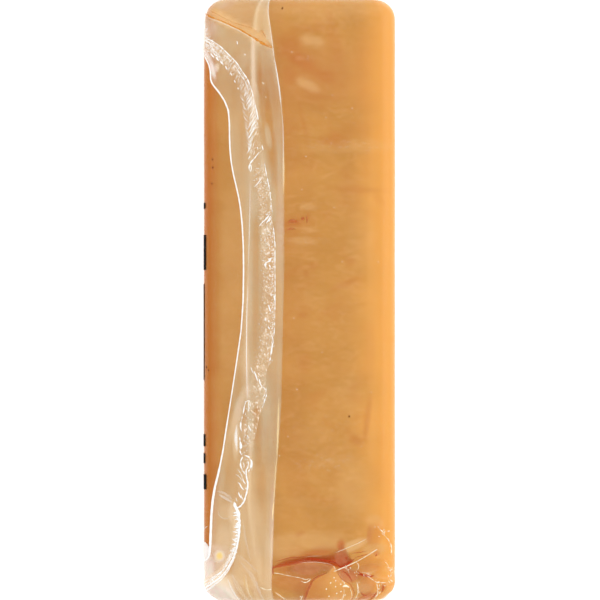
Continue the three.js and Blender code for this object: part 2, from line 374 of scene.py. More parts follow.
# Marks in the curd, in pixels of the view: x, y, half width, half height, tilt in degrees, strength. SHADED
# and LIGHTENED are partly painted shade and painted light by the edges and folds, and partly darker and
# lighter curd.
REDDENED = [
    (288, 46, 13, 9, 40, 0.3), (302, 62, 19, 8, 35, 0.38), (322, 76, 14, 6, 25, 0.3),
    (334, 40, 6, 26, -12, 0.2), (293, 223, 9, 4, -8, 0.4), (303, 219, 6, 2.5, -20, 0.3),
    (308, 217, 2.4, 4, 10, 0.3), (288, 229, 4, 2.5, -20, 0.3), (308, 30, 18, 4, 0, 0.2),
    (313, 266, 5, 4, 0, 0.25), (306, 274, 3, 4, 0, 0.25), (350, 262, 4, 6, 35, 0.15),
    (303, 315, 5, 3, 0, 0.3), (305, 363, 6, 9, 0, 0.2), (358, 190, 26, 3, 3, 0.2),
    (379, 200, 4, 8, -45, 0.12), (345, 284, 16, 3, -25, 0.25), (367, 418, 3, 22, 8, 0.3),
    (356, 440, 7, 4, 20, 0.3), (330, 140, 14, 4, 0, 0.25), (213, 130, 5, 60, 0, 0.12),
    (290, 75, 7, 10, 0, 0.25), (338, 140, 12, 7, 10, 0.25), (352, 130, 14, 10, 0, 0.15),
    (303, 122, 2.2, 20, -12, 0.2), (370, 350, 5, 30, 0, 0.12), (208, 200, 4, 30, 0, 0.3),
    (352, 574, 15, 6, 0, 0.45), (366, 574.5, 9, 2, 8, 0.7), (362, 561, 14, 5, -15, 0.22),
    (374, 597, 9, 6, 0, 0.65), (318, 552.5, 17, 4.4, -6, 0.42), (290, 568, 12, 4, 0, 0.3),
    (318, 584, 8, 6, 0, 0.2), (384, 587, 3, 5, 0, 0.5), (369.6, 533, 3, 9, 5, 0.4),
    (373, 541, 6, 2.5, 15, 0.25), (374.6, 533, 7, 10, 10, 0.3), (376, 552.5, 3.4, 2.5, 0, 0.45),
    (290, 583, 16, 8, 10, 0.25), (307, 588, 3, 12, 15, 0.45), (350, 592, 2.5, 9, 5, 0.4),
    (365, 566, 14, 4, -20, 0.25), (375, 565, 8, 8, 0, 0.25), (310, 580, 16, 8, 0, 0.3),
    (322, 601, 12, 7, 0, 0.34), (345, 598, 8, 8, 0, 0.2), (372, 584, 10, 10, 0, 0.14),
    (346, 557, 1.4, 1.2, 0, 1.0), (341, 544.5, 4.2, 6, 0, 0.6), (345, 566, 8, 3, -25, 0.8),
    (300, 533, 5, 2.6, -20, 0.3), (213, 310, 1.5, 1.5, 0, 0.3),
]
PALED = [
    (312, 41.5, 12, 5.5, 12, 0.55), (308, 86, 13, 4.8, 27, 0.52), (308, 207, 8, 3.2, 2, 0.35),
    (303, 241, 14, 3.6, 3, 0.35), (310, 230, 9, 1.4, 3, 0.35), (322, 22, 16, 4, 0, 0.15),
    (346, 148, 42, 6, -3, 0.18), (366, 145, 22, 5, 5, 0.15), (330, 461, 22, 5, -6, 0.16),
    (312, 436, 22, 10, 3, 0.1), (300, 500, 20, 5, 2, 0.1), (325, 533, 26, 3.2, 5, 0.2),
    (330, 8, 66, 10, 0, 0.2), (312, 540, 34, 8, 4, 0.4), (352, 545, 16, 5, -22, 0.9),
    (374, 548, 12, 6, -10, 0.5), (365, 587.5, 8, 5, 0, 0.6), (374, 520, 8, 6, 0, 0.3),
    (292, 549, 12, 6, 0, 0.35), (281, 546, 13, 12, 0, 0.45), (234, 250, 12, 60, 0, 0.22),
    (230, 330, 10, 50, 0, 0.15), (364, 569, 12, 3, 0, 0.2), (300, 60, 5, 1.2, 10, 0.35),
    (360, 240, 14, 30, 0, 0.12), (224, 21, 20, 4.6, 27, 1.0), (254, 36, 18, 5, 31, 1.0),
    (262, 40, 8, 5, 40, 1.0),
]
SHADED = [
    (300, 76, 60, 34, 0, 0.27), (376, 76, 24, 44, 0, 0.38), (286, 130, 14, 60, 0, 0.2),
    (376, 140, 14, 60, 0, 0.2), (292, 330, 14, 150, 0, 0.13), (352, 190, 12, 22, 0, 0.14),
    (296, 470, 12, 30, 0, 0.14), (310, 566, 34, 14, 0, 0.45), (322, 549, 15, 5, -8, 0.3),
    (312, 581, 16, 7, 0, 0.2), (376, 552, 8, 10, 0, 0.3), (370, 580, 9, 22, 0, 0.3),
    (304, 590, 10, 14, 0, 0.3), (382, 592, 8, 10, 0, 0.25), (205, 305, 5, 80, 0, 0.3),
    (392, 80, 7, 56, 0, 0.3), (387, 105, 9, 110, 0, 0.2), (300, 220, 14, 160, 0, 0.08),
    (206, 330, 5, 80, 0, 0.14), (206, 255, 6, 30, 0, 0.1),
]
LIGHTENED = [
    (217, 430, 6, 30, 0, 0.14), (206, 505, 5, 22, 0, 0.35), (228, 22.5, 18, 4.5, 27, 0.3),
    (250, 33, 15, 4.5, 30, 0.2), (372, 330, 5, 190, 0, 0.12), (358, 598, 22, 5, 0, 0.16),
    (356, 488, 20, 26, 0, 0.2), (352, 392, 14, 22, 0, 0.08), (350, 594, 8, 12, 0, 0.04),
    (373, 330, 6, 150, 0, 0.06), (372, 508, 10, 20, 0, 0.15),
]
GOLDEN = [
    (224, 20, 20, 5, 27, 0.75), (254, 35, 18, 5.4, 31, 0.7), (250, 582, 34, 24, 0, 0.3),
    (207, 86, 6, 40, 0, 1.0), (209, 140, 6, 46, 0, 0.3), (209, 12, 7, 4, 22, 1.0),
    (268, 45, 6, 3.5, 40, 0.6), (277, 593, 6, 2, 35, 0.6), (376, 536, 6, 6, 0, 0.12),
    (352, 594, 5, 7, 0, 0.3), (380, 560, 12, 22, 0, 0.15),
]


def soft_marks(marks, pixel_x, pixel_y, edge=1.0):
    """The strongest of the oval marks at each place. An edge of 0 would be sharp."""
    total = np.zeros_like(pixel_x)
    for x, y, half_x, half_y, tilt, strength in marks:
        turn = math.radians(tilt)
        away_x, away_y = pixel_x - x, pixel_y - y
        along_mark = (away_x * math.cos(turn) + away_y * math.sin(turn)) / half_x
        aside = (away_y * math.cos(turn) - away_x * math.sin(turn)) / half_y
        total = np.maximum(total, strength * smooth(1 + edge / 2 - np.hypot(along_mark, aside), 0, edge))
    return total


def cleft(pixel_x, pixel_y):
    """How deep the cleft is at a place, and the place's share of the way to its near lip."""
    far = np.interp(pixel_x, *np.array(CLEFT_FAR).T)
    near = np.interp(pixel_x, *np.array(CLEFT_NEAR).T)
    inside = (pixel_x > CLEFT_FAR[0][0]) & (pixel_x < CLEFT_FAR[-1][0])
    share = (pixel_y - far) / np.maximum(near - far, 0.6)
    slope = smooth(share, 0, CLEFT_FALL) * (1 - smooth(share, *CLEFT_RISE))
    depth = np.interp(pixel_x, *np.array(CLEFT_DEPTH).T) * slope
    return np.where(inside, depth, 0), np.where(inside, share, -9)


def lumps(pixel_x, pixel_y):
    rise = np.zeros_like(pixel_x)
    for start, stop, start_width, stop_width, height in LUMPS:
        run = np.subtract(stop, start)
        share = ((pixel_x - start[0]) * run[0] + (pixel_y - start[1]) * run[1]) / run.dot(run)
        held = np.clip(share, 0, 1)
        away = np.hypot(pixel_x - start[0] - held * run[0], pixel_y - start[1] - held * run[1]) * PIXEL
        rise += height * bell(away, start_width + (stop_width - start_width) * held)
    return rise


def in_lump(pixel_x, pixel_y):
    """1 within the big lump, by its borders."""
    left = np.interp(pixel_y, *np.array(LUMP_LEFT)[:, ::-1].T)
    right = np.interp(pixel_y, *np.array(LUMP_RIGHT)[:, ::-1].T)
    inside = smooth(pixel_x - left, -0.8, 1.6) * smooth(right - pixel_x, -0.8, 0.8)
    return inside * smooth(pixel_y, *LUMP_START)


def crumple(pixel_x, pixel_y):
    """How crumpled the near right corner is, from 0 to 1."""
    return smooth(pixel_x, *CRUMPLED_ACROSS) * smooth(pixel_y, *CRUMPLED_ALONG)


# The grids of the cheese and its film are finest on the bar's upper face and at its near end
WRAP_STEPS = (230, 360)
ALONG_KNOTS = [-FULL_ALONG, -78, -50, 60, FULL_ALONG]
ALONG_SHARES = [0, 0.06, 0.4, 0.9, 1]
ACROSS_KNOTS = [-GIRTH / 2, -25, 25, GIRTH / 2]
ACROSS_SHARES = [0, 0.2, 0.8, 1]
SEAM_EASE = 4
FACE_REACH = 30
FACE_FADE = 4
END_REST = 2
END_FADE = 5


def wrapped(share_across, share_along):
    """The walked distances for a grid that is wrapped right round the bar."""
    across = np.interp(share_across, ACROSS_SHARES, ACROSS_KNOTS)
    return across, np.interp(share_along, ALONG_SHARES, ALONG_KNOTS)


def unbroken(across, along):
    """1 over the skin, 0 where it meets itself: along the middle of the underside and at both poles."""
    from_seam = smooth(GIRTH / 2 - np.abs(across), 0, SEAM_EASE)
    return from_seam * smooth(FULL_ALONG - np.abs(along), 0, SEAM_EASE)


def on_face(across, along):
    """1 on the upper face, fading to 0 a little way down the sides and the ends."""
    past_end = STRAIGHT + CORNER_ARC + END_REST - np.abs(along)
    return smooth(FACE_REACH - np.abs(across), 0, FACE_FADE) * smooth(past_end, 0, END_FADE)


# The sides have marks of the same kinds, placed as if each side were folded out beside the face. The
# limits are of how far out and along a mark lies, its half width, half height, tilt and strength.
SIDE_MARK_RANGES = [(112, 180), (-270, 270), (8, 24), (3, 7), (-25, 25), (0.15, 0.45)]
SIDE_MARK_COUNT = 11
SIDE_RED = 0.5
SIDE_DARK = 0.7

draw = np.random.default_rng(61)


def side_marks():
    marks = []
    for side in (-1, 1):
        for _ in range(SIDE_MARK_COUNT):
            out, *others = [draw.uniform(*limits) for limits in SIDE_MARK_RANGES]
            marks.append((side * out, *others))
    return marks


SIDE_PALED, SIDE_REDDENED, SIDE_SHADED = side_marks(), side_marks(), side_marks()

# How high the grain of the curd stands, and the roughness of the crumpled corner
GRAIN = 0.06
CRUMPLE_ROUGHNESS = 0.5
# How golden, pale and red the big lump is
LUMP_GOLD = 0.5
LUMP_PALE = 0.22
LUMP_RED = 0.34


def torn_curd(pixel_y, share):
    """How much torn, red curd shows in the cleft, by the share of the way to its near lip."""
    torn = (0.35 + 0.65 * smooth(share, 0.1, 0.9)) * smooth(share, 0, 0.12) * (1 - smooth(share, 1.0, 1.1))
    return torn * (0.3 + 0.7 * smooth(pixel_y, 541, 556))


def cheese_shape(share_across, share_along):
    across, along = wrapped(share_across, share_along)
    pixel_x, pixel_y = pixel_of(across, along)
    face = on_face(across, along)
    depth, share = cleft(pixel_x, pixel_y)
    grain = GRAIN * (speckle(across / 6, along / 1.6, 3) - 0.5) * unbroken(across, along)
    rough = CRUMPLE_ROUGHNESS * crumple(pixel_x, pixel_y) * (speckle(pixel_x / 6, pixel_y / 5, 4) - 0.5)
    lift = face * (lumps(pixel_x, pixel_y) - depth + rough) + grain
    places = on_skin(across, along, np.minimum(lift, 0))
    places[:, 2] += np.maximum(lift, 0) * face

    torn = face * torn_curd(pixel_y, share)
    whole = face * (1 - smooth(torn, 0, 0.3))
    red = np.maximum(face * soft_marks(REDDENED, pixel_x, pixel_y), torn)
    pale = whole * soft_marks(PALED, pixel_x, pixel_y, 0.75)
    gold = whole * soft_marks(GOLDEN, pixel_x, pixel_y)
    shade = face * soft_marks(SHADED, pixel_x, pixel_y)
    light = face * soft_marks(LIGHTENED, pixel_x, pixel_y)

    lump = face * in_lump(pixel_x, pixel_y)
    lump_right = smooth(pixel_x + 0.6 * (600 - pixel_y), 318, 346)
    gold = np.maximum(gold * (1 - lump), lump * (LUMP_GOLD + 0.15 * lump_right))
    pale = np.maximum(pale, lump * LUMP_PALE * lump_right)
    red = red * (1 - 0.8 * lump) + LUMP_RED * lump * (1 - lump_right)

    aside = across / PIXEL, along / PIXEL
    pale = np.maximum(pale, soft_marks(SIDE_PALED, *aside))
    red = np.maximum(red, SIDE_RED * soft_marks(SIDE_REDDENED, *aside))
    shade = np.maximum(shade, SIDE_DARK * soft_marks(SIDE_SHADED, *aside))
    return places, {"red": red, "pale": pale, "gold": gold, "shade": shade, "light": light}


cheese_bar = moved_grid("cheese_bar", WRAP_STEPS, cheese_shape)

curd = Finish("smoked_curd")
clouds = curd.noise(13, detail=3, stretch=(1.6, 1, 1), distortion=0.4)
streaks = curd.noise(2.6, detail=4, stretch=(4, 1, 2), roughness=0.6, distortion=0.5)
fine = curd.noise(0.8, detail=3, stretch=(1.6, 1, 1), roughness=0.6)
pores = curd.noise(0.45, detail=2, stretch=(1.4, 1, 1))
patches = curd.noise(5, detail=4, stretch=(1.5, 1, 1), distortion=0.8, roughness=0.6)
blooms = curd.noise(3.2, detail=4, stretch=(1.8, 1, 1), distortion=1.2, roughness=0.6)
height = curd.axis("Z")
sideways = curd.axis("X")
near_face = curd.span(height + (clouds - 0.5) * 8, 15, 24, 0.25, 1.0)
# Painted light on the right edge and painted shade on the left edge, near the face's height
painted_right_edge_light = curd.span(sideways + (clouds - 0.5) * 5, 11.5, 22) * near_face
painted_left_edge_shade = curd.span(sideways + (clouds - 0.5) * 3, -19, -23) * near_face
# Painted shade: the curd darkens towards the left
painted_shade_to_left = curd.span(sideways, -3, -8)
redness = curd.attribute("red")
red_tone = curd.mixed(curd.span(redness, 0.3, 0.5), tone(184, 98, 40), tone(188, 80, 28))

# The curd's colour is laid down in coats: how much of each coat, and its tone. The shade and light coats
# are partly painted shade and painted light; the shade to the left and the edge coats are painted shade and
# light.
body = curd.mixed(curd.span(clouds, 0.3, 0.7), tone(190, 132, 61), tone(202, 143, 71))
for share, coat in [
    (curd.span(patches, 0.5, 0.68) * 0.3, tone(194, 122, 56)),
    (curd.span(blooms, 0.5, 0.66) * 0.3, tone(211, 155, 90)),
    (curd.span(streaks, 0.52, 0.75) * 0.13, tone(214, 160, 94)),
    (curd.span(streaks, 0.45, 0.25) * 0.09, tone(188, 121, 56)),
    (curd.span(fine, 0.5, 0.66) * 0.12, tone(224, 172, 104)),
    (curd.span(pores, 0.45, 0.3) * 0.12, tone(172, 104, 46)),
    (curd.attribute("shade"), tone(168, 92, 46)),
    (curd.attribute("light"), tone(250, 200, 130)),
    (curd.attribute("gold") * 0.8, tone(232, 160, 74)),
    (painted_shade_to_left * 0.27, tone(162, 112, 64)),
    (painted_right_edge_light * 0.85, tone(232, 162, 76)),
    (painted_left_edge_shade * 0.85, tone(180, 100, 10)),
    (curd.attribute("pale") * 0.8, tone(221, 174, 116)),
    (redness * 0.9, red_tone),
]:
    body = curd.mixed(share, body, coat)
relief = streaks * 0.6 + fine * 0.4
wax_values = {
    "Base Color": body,
    "Roughness": curd.span(clouds, 0.3, 0.7, 0.42, 0.56),
    "Normal": curd.add("ShaderNodeBump", None, {"Height": relief, "Strength": 0.1, "Distance": 0.0002}),
    "Subsurface Weight": 0.22,
    "Subsurface Radius": (1.0, 0.45, 0.15),
    "Subsurface Scale": 0.004,
    "Specular IOR Level": 0.15,
}
dressed(cheese_bar, curd.done(curd.add("ShaderNodeBsdfPrincipled", None, wax_values)), "cheese")

# The clear film: the wall of the shrink bag, thin clear plastic, drawn tight on the cheese by heat. It
# bridges the cleft, and it is gathered into a pleat at each corner of both ends.

FILM_GAP = 0.16
FILM_HAZE = 0.003
# The pleats: their place on the rounded edge, how far before the rim they start, and their length
PLEAT_PLACE = 0.45
PLEAT_BEFORE = 4.5
PLEAT_LENGTH = 15.5
PLEAT_WIDTH = 1.5
PLEAT_RISE = 0.9
PLEAT_HAZE = 0.3
# How far the film stands off where it is gathered at the ends, where it trembles, and where it is crumpled
GATHER = 0.25
GATHER_RUN = (66, 78)
TREMBLE = 0.05
CRINKLE = 0.4
# How far it follows the hollows and the cleft
HOLLOW_SHARE = 0.6
CLEFT_SHARE = 0.4
SCUFF_HAZE = 0.24
# How much any film shines where it is looked at straight on
LEAST_SHINE = 0.006


def film_surface(finish, tint, haze, roughness, shine):
    """Clear film: see-through, milky by its haze, with a sheen that grows towards its edges."""
    clear = finish.add("ShaderNodeBsdfTransparent", None, {"Color": (1, 1, 1, 1)})
    milk = finish.add("ShaderNodeBsdfDiffuse", None, {"Color": tint})
    milky = finish.add("ShaderNodeMixShader", None, {0: haze, 1: clear, 2: milk})
    gloss = finish.add("ShaderNodeBsdfAnisotropic", None, {"Color": (1, 1, 1, 1), "Roughness": roughness})
    facing = finish.add("ShaderNodeLayerWeight", None, {"Blend": 0.5}, out="Facing")
    return finish.add("ShaderNodeMixShader", None, {0: LEAST_SHINE + shine * facing**4, 1: milky, 2: gloss})


def pleats(across, along):
    """The height of the pleats on both ends, each running in from a rounded long edge."""
    half = PLEAT_LENGTH / 2
    past = np.abs(along) - STRAIGHT - CORNER_ARC - (half - PLEAT_BEFORE)
    rounded = np.sqrt(np.clip(1 - (past / half) ** 2, 0, 1))
    total = np.zeros_like(across)
    for edge in (FACE_END, SIDE_FOOT):
        away = np.abs(np.abs(across) - edge - PLEAT_PLACE * EDGE_ARC) / PLEAT_WIDTH
        total += rounded * np.sqrt(np.clip(1 - away**2, 0, 1))
    return total


# Small flat pockets of doubled film by the cleft, as marks like those in the curd
POCKETS = [
    (307, 567, 14, 6.6, 0, 0.42), (325, 566, 8, 3, 0, 0.3), (341.6, 555.4, 6, 8.4, 0, 0.36),
    (348, 574, 9, 6.4, 35, 0.48), (367, 585, 8, 9, 0, 0.22), (367, 567, 12, 4, -10, 0.16),
    (290, 583, 20, 7, 8, 0.14),
]

# Where the film is scuffed into small pale flecks
SCUFFS = [
    (326, 461, 28, 9, -6, 0.9), (346, 147, 44, 8, 4, 0.6), (316, 424, 36, 12, 0, 0.3),
    (322, 444, 36, 6, 0, 0.35), (300, 57, 16, 3, 12, 0.8), (330, 118, 40, 10, 0, 0.25),
    (340, 205, 40, 12, 0, 0.25), (310, 241, 22, 5, 3, 0.6), (320, 512, 40, 14, 0, 0.2),
    (340, 300, 44, 30, 0, 0.15), (330, 26, 44, 8, 0, 0.3), (366, 430, 14, 24, 0, 0.3),
]


def creases(x, y, seed):
    """Random creases from 0 to 1, sharp along their crests."""
    return 1 - np.abs(2 * speckle(x, y, seed) - 1)


def film_shape(share_across, share_along):
    across, along = wrapped(share_across, share_along)
    pixel_x, pixel_y = pixel_of(across, along)
    face = on_face(across, along)
    depth, _ = cleft(pixel_x, pixel_y)
    rise = lumps(pixel_x, pixel_y)
    pleat = pleats(across, along)
    ends = smooth(np.abs(along), *GATHER_RUN)
    gather = GATHER * speckle(across / 2.4, along / 14, 11) * ends + PLEAT_RISE * pleat
    tremble = TREMBLE * speckle(across / 3.5, along / 9, 12)
    folds = creases(pixel_x / 5 + pixel_y / 9, pixel_y / 7, 14)
    crinkle = face * crumple(pixel_x, pixel_y) * folds**2
    lift = FILM_GAP + (gather + tremble) * unbroken(across, along)
    lift += face * (HOLLOW_SHARE * np.minimum(rise, 0) - CLEFT_SHARE * depth) + CRINKLE * crinkle
    places = on_skin(across, along, lift)
    places[:, 2] += face * np.maximum(rise, 0)
    haze = FILM_HAZE + 0.04 * ends * speckle(across / 1.5, along / 8, 13) + 0.12 * crinkle**3
    haze += PLEAT_HAZE * pleat
    pocket = face * soft_marks(POCKETS, pixel_x, pixel_y, 0.35)
    scuff = face * soft_marks(SCUFFS, pixel_x, pixel_y)
    return places, {"haze": np.maximum(haze, pocket), "pocket": smooth(pocket, 0, 0.1), "scuff": scuff}


clear_film = moved_grid("clear_film", WRAP_STEPS, film_shape)
wall = Finish("clear_film")
pocket_tint = wall.mixed(wall.span(wall.noise(1.4), 0.35, 0.65), tone(196, 120, 84), tone(208, 136, 100))
wall_tint = wall.mixed(wall.attribute("pocket"), tone(238, 222, 196), pocket_tint)
fleck_noise = wall.noise(0.8, detail=4, stretch=(1.5, 0.9, 1), roughness=0.6, distortion=1.5)
flecks = wall.span(fleck_noise, 0.54, 0.68)
wall_haze = wall.attribute("haze") + wall.attribute("scuff") * flecks * SCUFF_HAZE
dressed(clear_film, wall.done(film_surface(wall, wall_tint, wall_haze, 0.14, 0.3)), "film")

# The tail: the end of the bag past its weld, two plies of film folded over the face. The root fold, the
# soft fold, the weld and the cut edge run along it, and its two ears wrap the left edge and both ends.

CUT_PIXELS = [
    (204.3, 53), (207.2, 59), (210.4, 66), (211.8, 74), (211.7, 81), (214, 86), (218.6, 92), (224.8, 101.5),
    (228.6, 111), (229.7, 124), (229.8, 138), (230.3, 150), (231.4, 162), (233.5, 174), (236.3, 186),
    (239, 198), (240.9, 210), (242.5, 226), (243.5, 246), (243.8, 270), (243.4, 300), (241.4, 330),
    (238, 354), (234.4, 378), (230.7, 402), (226.9, 426), (223.3, 450), (218.6, 474), (215.6, 487),
    (213.6, 500), (212.4, 514), (211.8, 530), (211.3, 546), (210.4, 555), (208, 559), (204.3, 560.5),
]
ROOT_PIXELS = [
    (265, -6), (266.8, 2), (269.8, 20), (272.8, 40), (275, 58), (278.6, 78), (281.7, 98), (283.4, 120),
    (284.3, 145), (284.5, 170), (284.3, 270), (283.5, 305), (282.4, 356), (281.6, 400), (279.8, 430),
    (277, 470), (274.6, 505), (273.4, 546), (272, 581), (271, 599), (270.6, 606),
]
SOFT_PIXELS = [
    (258, -6), (257, 10), (254.6, 28), (253.4, 45), (253, 63), (253.6, 91), (251, 150), (250.6, 200),
    (249.6, 240), (248.2, 275), (247, 310), (246.6, 360), (247.8, 398), (250, 450), (249.6, 480),
    (248.8, 500), (250.6, 520), (254, 545), (257.6, 563), (262, 585), (268, 606),
]
WELD_OUTER_PIXELS = [
    (198, 44), (205, 50), (213, 59), (219, 64), (227, 71), (235, 83), (240, 93), (243, 105), (245, 118),
    (248, 146), (249, 155), (251, 170), (254, 190), (257, 215), (259, 240), (260, 270), (261, 300),
    (260, 330), (257, 352), (251, 368), (247, 385), (243, 402), (240, 415), (238.5, 430), (239, 445),
    (240, 455), (240.5, 470), (238, 485), (233.5, 500), (233.5, 515), (231.5, 540), (227, 556), (218, 568),
    (206, 577), (198, 581),
]
WELD_INNER_PIXELS = [
    (198, 31), (204.4, 36.7), (214.4, 42.2), (222.2, 48.9), (228.9, 55.6), (236.7, 63.3), (242.2, 72.2),
    (247.8, 80), (252.2, 92), (254.4, 102), (256.7, 111), (258.5, 121), (260, 135), (262, 150), (264, 162),
    (266.5, 175), (269.5, 190), (271.5, 205), (272.7, 217), (274, 230), (275, 245), (275, 262),
    (275.2, 280), (275, 300), (274.5, 320), (273.5, 340), (271.5, 355), (268.5, 367), (266, 378),
    (266, 392), (264, 405), (260, 415), (257, 430), (254, 445), (252, 460), (251, 470), (248.7, 484),
    (247.5, 492), (244.5, 501), (240.5, 506), (241, 515), (240.6, 525), (239, 543), (235, 558),
    (227.5, 572.5), (217, 583), (206, 587.5), (198, 590),
]
# Where each line goes on past the face, as distances walked across and along
CUT_TURNS = [[(-41, 80), (-33, 70)], [(-30, -68), (-42, -80)]]
WELD_TURNS = [[(-33, 80), (-26, 67.4)], [(-27, -72), (-33, -80)]]
LINE_REACH = 92
LINE_STEPS = 3681
LINE_SOFTENING = 31


def walked_from(pixel_x, pixel_y):
    """The distances walked across and along to a place of the face, given in pixels."""
    x = (np.asarray(pixel_x, float) - MIDDLE_X) * PIXEL
    y = (MIDDLE_Y - np.asarray(pixel_y, float)) * PIXEL
    over_x = np.clip((np.abs(x) - FACE_END) / EDGE_RADIUS, 0, 1)
    over_y = np.clip((np.abs(y) - STRAIGHT) / CORNER_RADIUS, 0, 1)
    across = np.sign(x) * (np.minimum(np.abs(x), FACE_END) + EDGE_RADIUS * np.arcsin(over_x))
    along = np.sign(y) * (np.minimum(np.abs(y), STRAIGHT) + CORNER_RADIUS * np.arcsin(over_y))
    return across, along


def line_of(pixels, turns=((), ())):
    """A line of the tail as a function that gives its walked distance across at each one along."""
    across, along = walked_from(*np.array(pixels, float).T)
    across = np.concatenate([[p[0] for p in turns[0]], across, [p[0] for p in turns[1]]])
    along = np.concatenate([[p[1] for p in turns[0]], along, [p[1] for p in turns[1]]])
    order = np.argsort(along)
    fine_along = np.linspace(-LINE_REACH, LINE_REACH, LINE_STEPS)
    fine_across = np.interp(fine_along, along[order], across[order])
    soft = np.hanning(LINE_SOFTENING)
    padded = np.pad(fine_across, LINE_SOFTENING // 2, mode="edge")
    rounded = np.convolve(padded, soft / soft.sum(), mode="valid")
    return lambda places: np.interp(places, fine_along, rounded)


cut_line = line_of(CUT_PIXELS, CUT_TURNS)
root_line = line_of(ROOT_PIXELS)
soft_line = line_of(SOFT_PIXELS)
weld_outer = line_of(WELD_OUTER_PIXELS, WELD_TURNS)
weld_inner = line_of(WELD_INNER_PIXELS, WELD_TURNS)

TAIL_END = 82.0
TAIL_STEPS = (150, 480)
# How far the tail stands off the skin: its lower ply, all over, at its root fold, at the cut edge, where it
# turns down past the face, and what the soft fold, the sag before the weld and the waves add
PLY_STAND = 0.2
TAIL_STAND = 0.65
ROOT_STAND = 1.35
CUT_STAND = 0.42
TURNED_STAND = 0.55
SOFT_FOLD_STAND = 0.35
TAIL_SAG = 0.35
TAIL_WAVES = 0.12
# How wide its folds are, over what width the root fold is rounded, and how wide the lip at the cut edge is
FOLD_WIDTH = 0.9
ROOT_ROLL = 0.5
LIP_WIDTH = 0.35

# The slit across the tail at the far end, where its plies part: lower and upper rims in pixels
SLIT_LOWER = [(198, 10), (205, 14.5), (213, 19), (225, 24), (240, 31), (255, 40), (264, 46), (273.5, 50)]
SLIT_UPPER = [
    (198, 6), (205, 9.5), (222, 18), (235, 24), (252, 29), (259, 33.5), (262, 32), (266, 39), (273.5, 48.5),
]

# Soft clouds in the milkiness, in pixels: x, y, half width, half height, tilt in degrees, strength. A few
# are painted highlights, such as the lens by the root fold and the bright lobe beside the weld
MILKY_CLOUDS = [
    (255.6, 88, 2, 16, -14, 0.16), (258.8, 112, 1.8, 14, -10, 0.14), (275, 205, 4, 16, 0, 0.09),
    (266, 175, 3.5, 28, -10, 0.1), (250, 178, 3.5, 26, 0, 0.08), (233, 185, 4, 18, 0, 0.06),
    (266, 402, 4, 28, 0, 0.1), (242, 478, 5, 22, 0, 0.1), (243, 525, 4, 30, 0, 0.1),
    (265, 538, 5, 16, 0, 0.08), (268.4, 545, 4.6, 46, 1, 0.1), (252, 522, 11, 34, 0, 0.07),
    (262, 530, 4, 20, 0, 0.06), (268, 26, 5, 18, -10, 0.17), (222, 110, 4, 16, -10, 0.06),
    (242, 62, 7, 10, 40, 0.07), (254, 205, 4, 14, 0, 0.09), (246, 190, 3.5, 50, 0, 0.05),
    (246, 362, 4, 20, 0, 0.1), (254, 465, 5, 24, 0, 0.07), (233, 513, 3.6, 12, 0, 0.25),
    (235.6, 528, 3, 22, 0, 0.2), (232, 533, 3, 14, 0, 0.16), (218, 547, 7, 4, 0, 0.22),
    (216, 30, 10, 6, 28, 0.1), (262, 166, 3, 20, -8, 0.05), (281, 412, 2, 20, 0, 0.06),
    (230, 512, 4, 8, 0, 0.12), (234, 375, 4, 20, 0, 0.03), (262, 410, 4, 40, 0, 0.03),
    (279.6, 225, 3, 95, 0, 0.1), (280.5, 330, 2.6, 80, 2, 0.04), (279, 245, 3, 30, 0, 0.05),
    (268.5, 137, 2.6, 12, -8, 0.24), (255.5, 110, 2, 26, -4, 0.10), (273, 60, 3, 30, -8, 0.06),
    (259, 20, 4, 20, 5, 0.07), (246, 330, 4, 60, 4, 0.05), (247, 220, 3, 40, 0, 0.06),
    (266, 232, 5, 5, 0, 0.16), (265, 246, 5, 4, 20, 0.12), (270, 226, 3, 5, 0, 0.1),
    (238, 412, 4.5, 26, 16, 0.2), (243, 397, 3.5, 14, 28, 0.16), (236.5, 438, 3.4, 20, 0, 0.24),
    (262, 400, 7, 16, 0, 0.06), (250, 482, 3, 22, -4, 0.08), (256, 550, 8, 30, -12, 0.07),
    (219.9, 555, 5.4, 6.4, 0, 0.5), (219, 560, 13, 12, -15, 0.16), (224, 540, 8, 16, 0, 0.16),
    (217, 588, 17, 14, -12, 0.5), (206, 568, 9, 16, 0, 0.5), (228, 592, 5, 10, -20, 0.55),
    (214, 600, 16, 5, 0, 0.6), (213.4, 70, 2, 9, -12, 0.6), (217, 69, 2.4, 4.5, 20, 0.4),
    (208.6, 57, 2.2, 8, -25, 0.5), (207, 33, 6, 6, 0, 0.2), (212, 27, 9, 5, 30, 0.16),
    (253.6, 84, 2.4, 50, -1, 0.2), (256.2, 20, 2, 24, 4, 0.16), (225, 510.5, 8.5, 8, 0, 0.08),
    (235, 577, 20, 2, 28, 0.14), (246, 563, 14, 1.6, 46, 0.14), (262, 598, 8, 4, 0, 0.06),
    (240, 592, 2, 10, -14, 0.16), (247, 586, 1.6, 16, -10, 0.14), (254, 590, 1.8, 12, 4, 0.12),
    (233, 566, 3, 8, 30, 0.1), (217, 7, 6, 5, -20, 0.12), (208, 24, 4, 4, 0, 0.15),
    (233, 148, 2, 30, -4, 0.07), (222, 480, 3, 60, 8, 0.06), (244, 575, 12, 10, 30, 0.06),
    (276, 520, 3, 4, 0, 0.1),
]
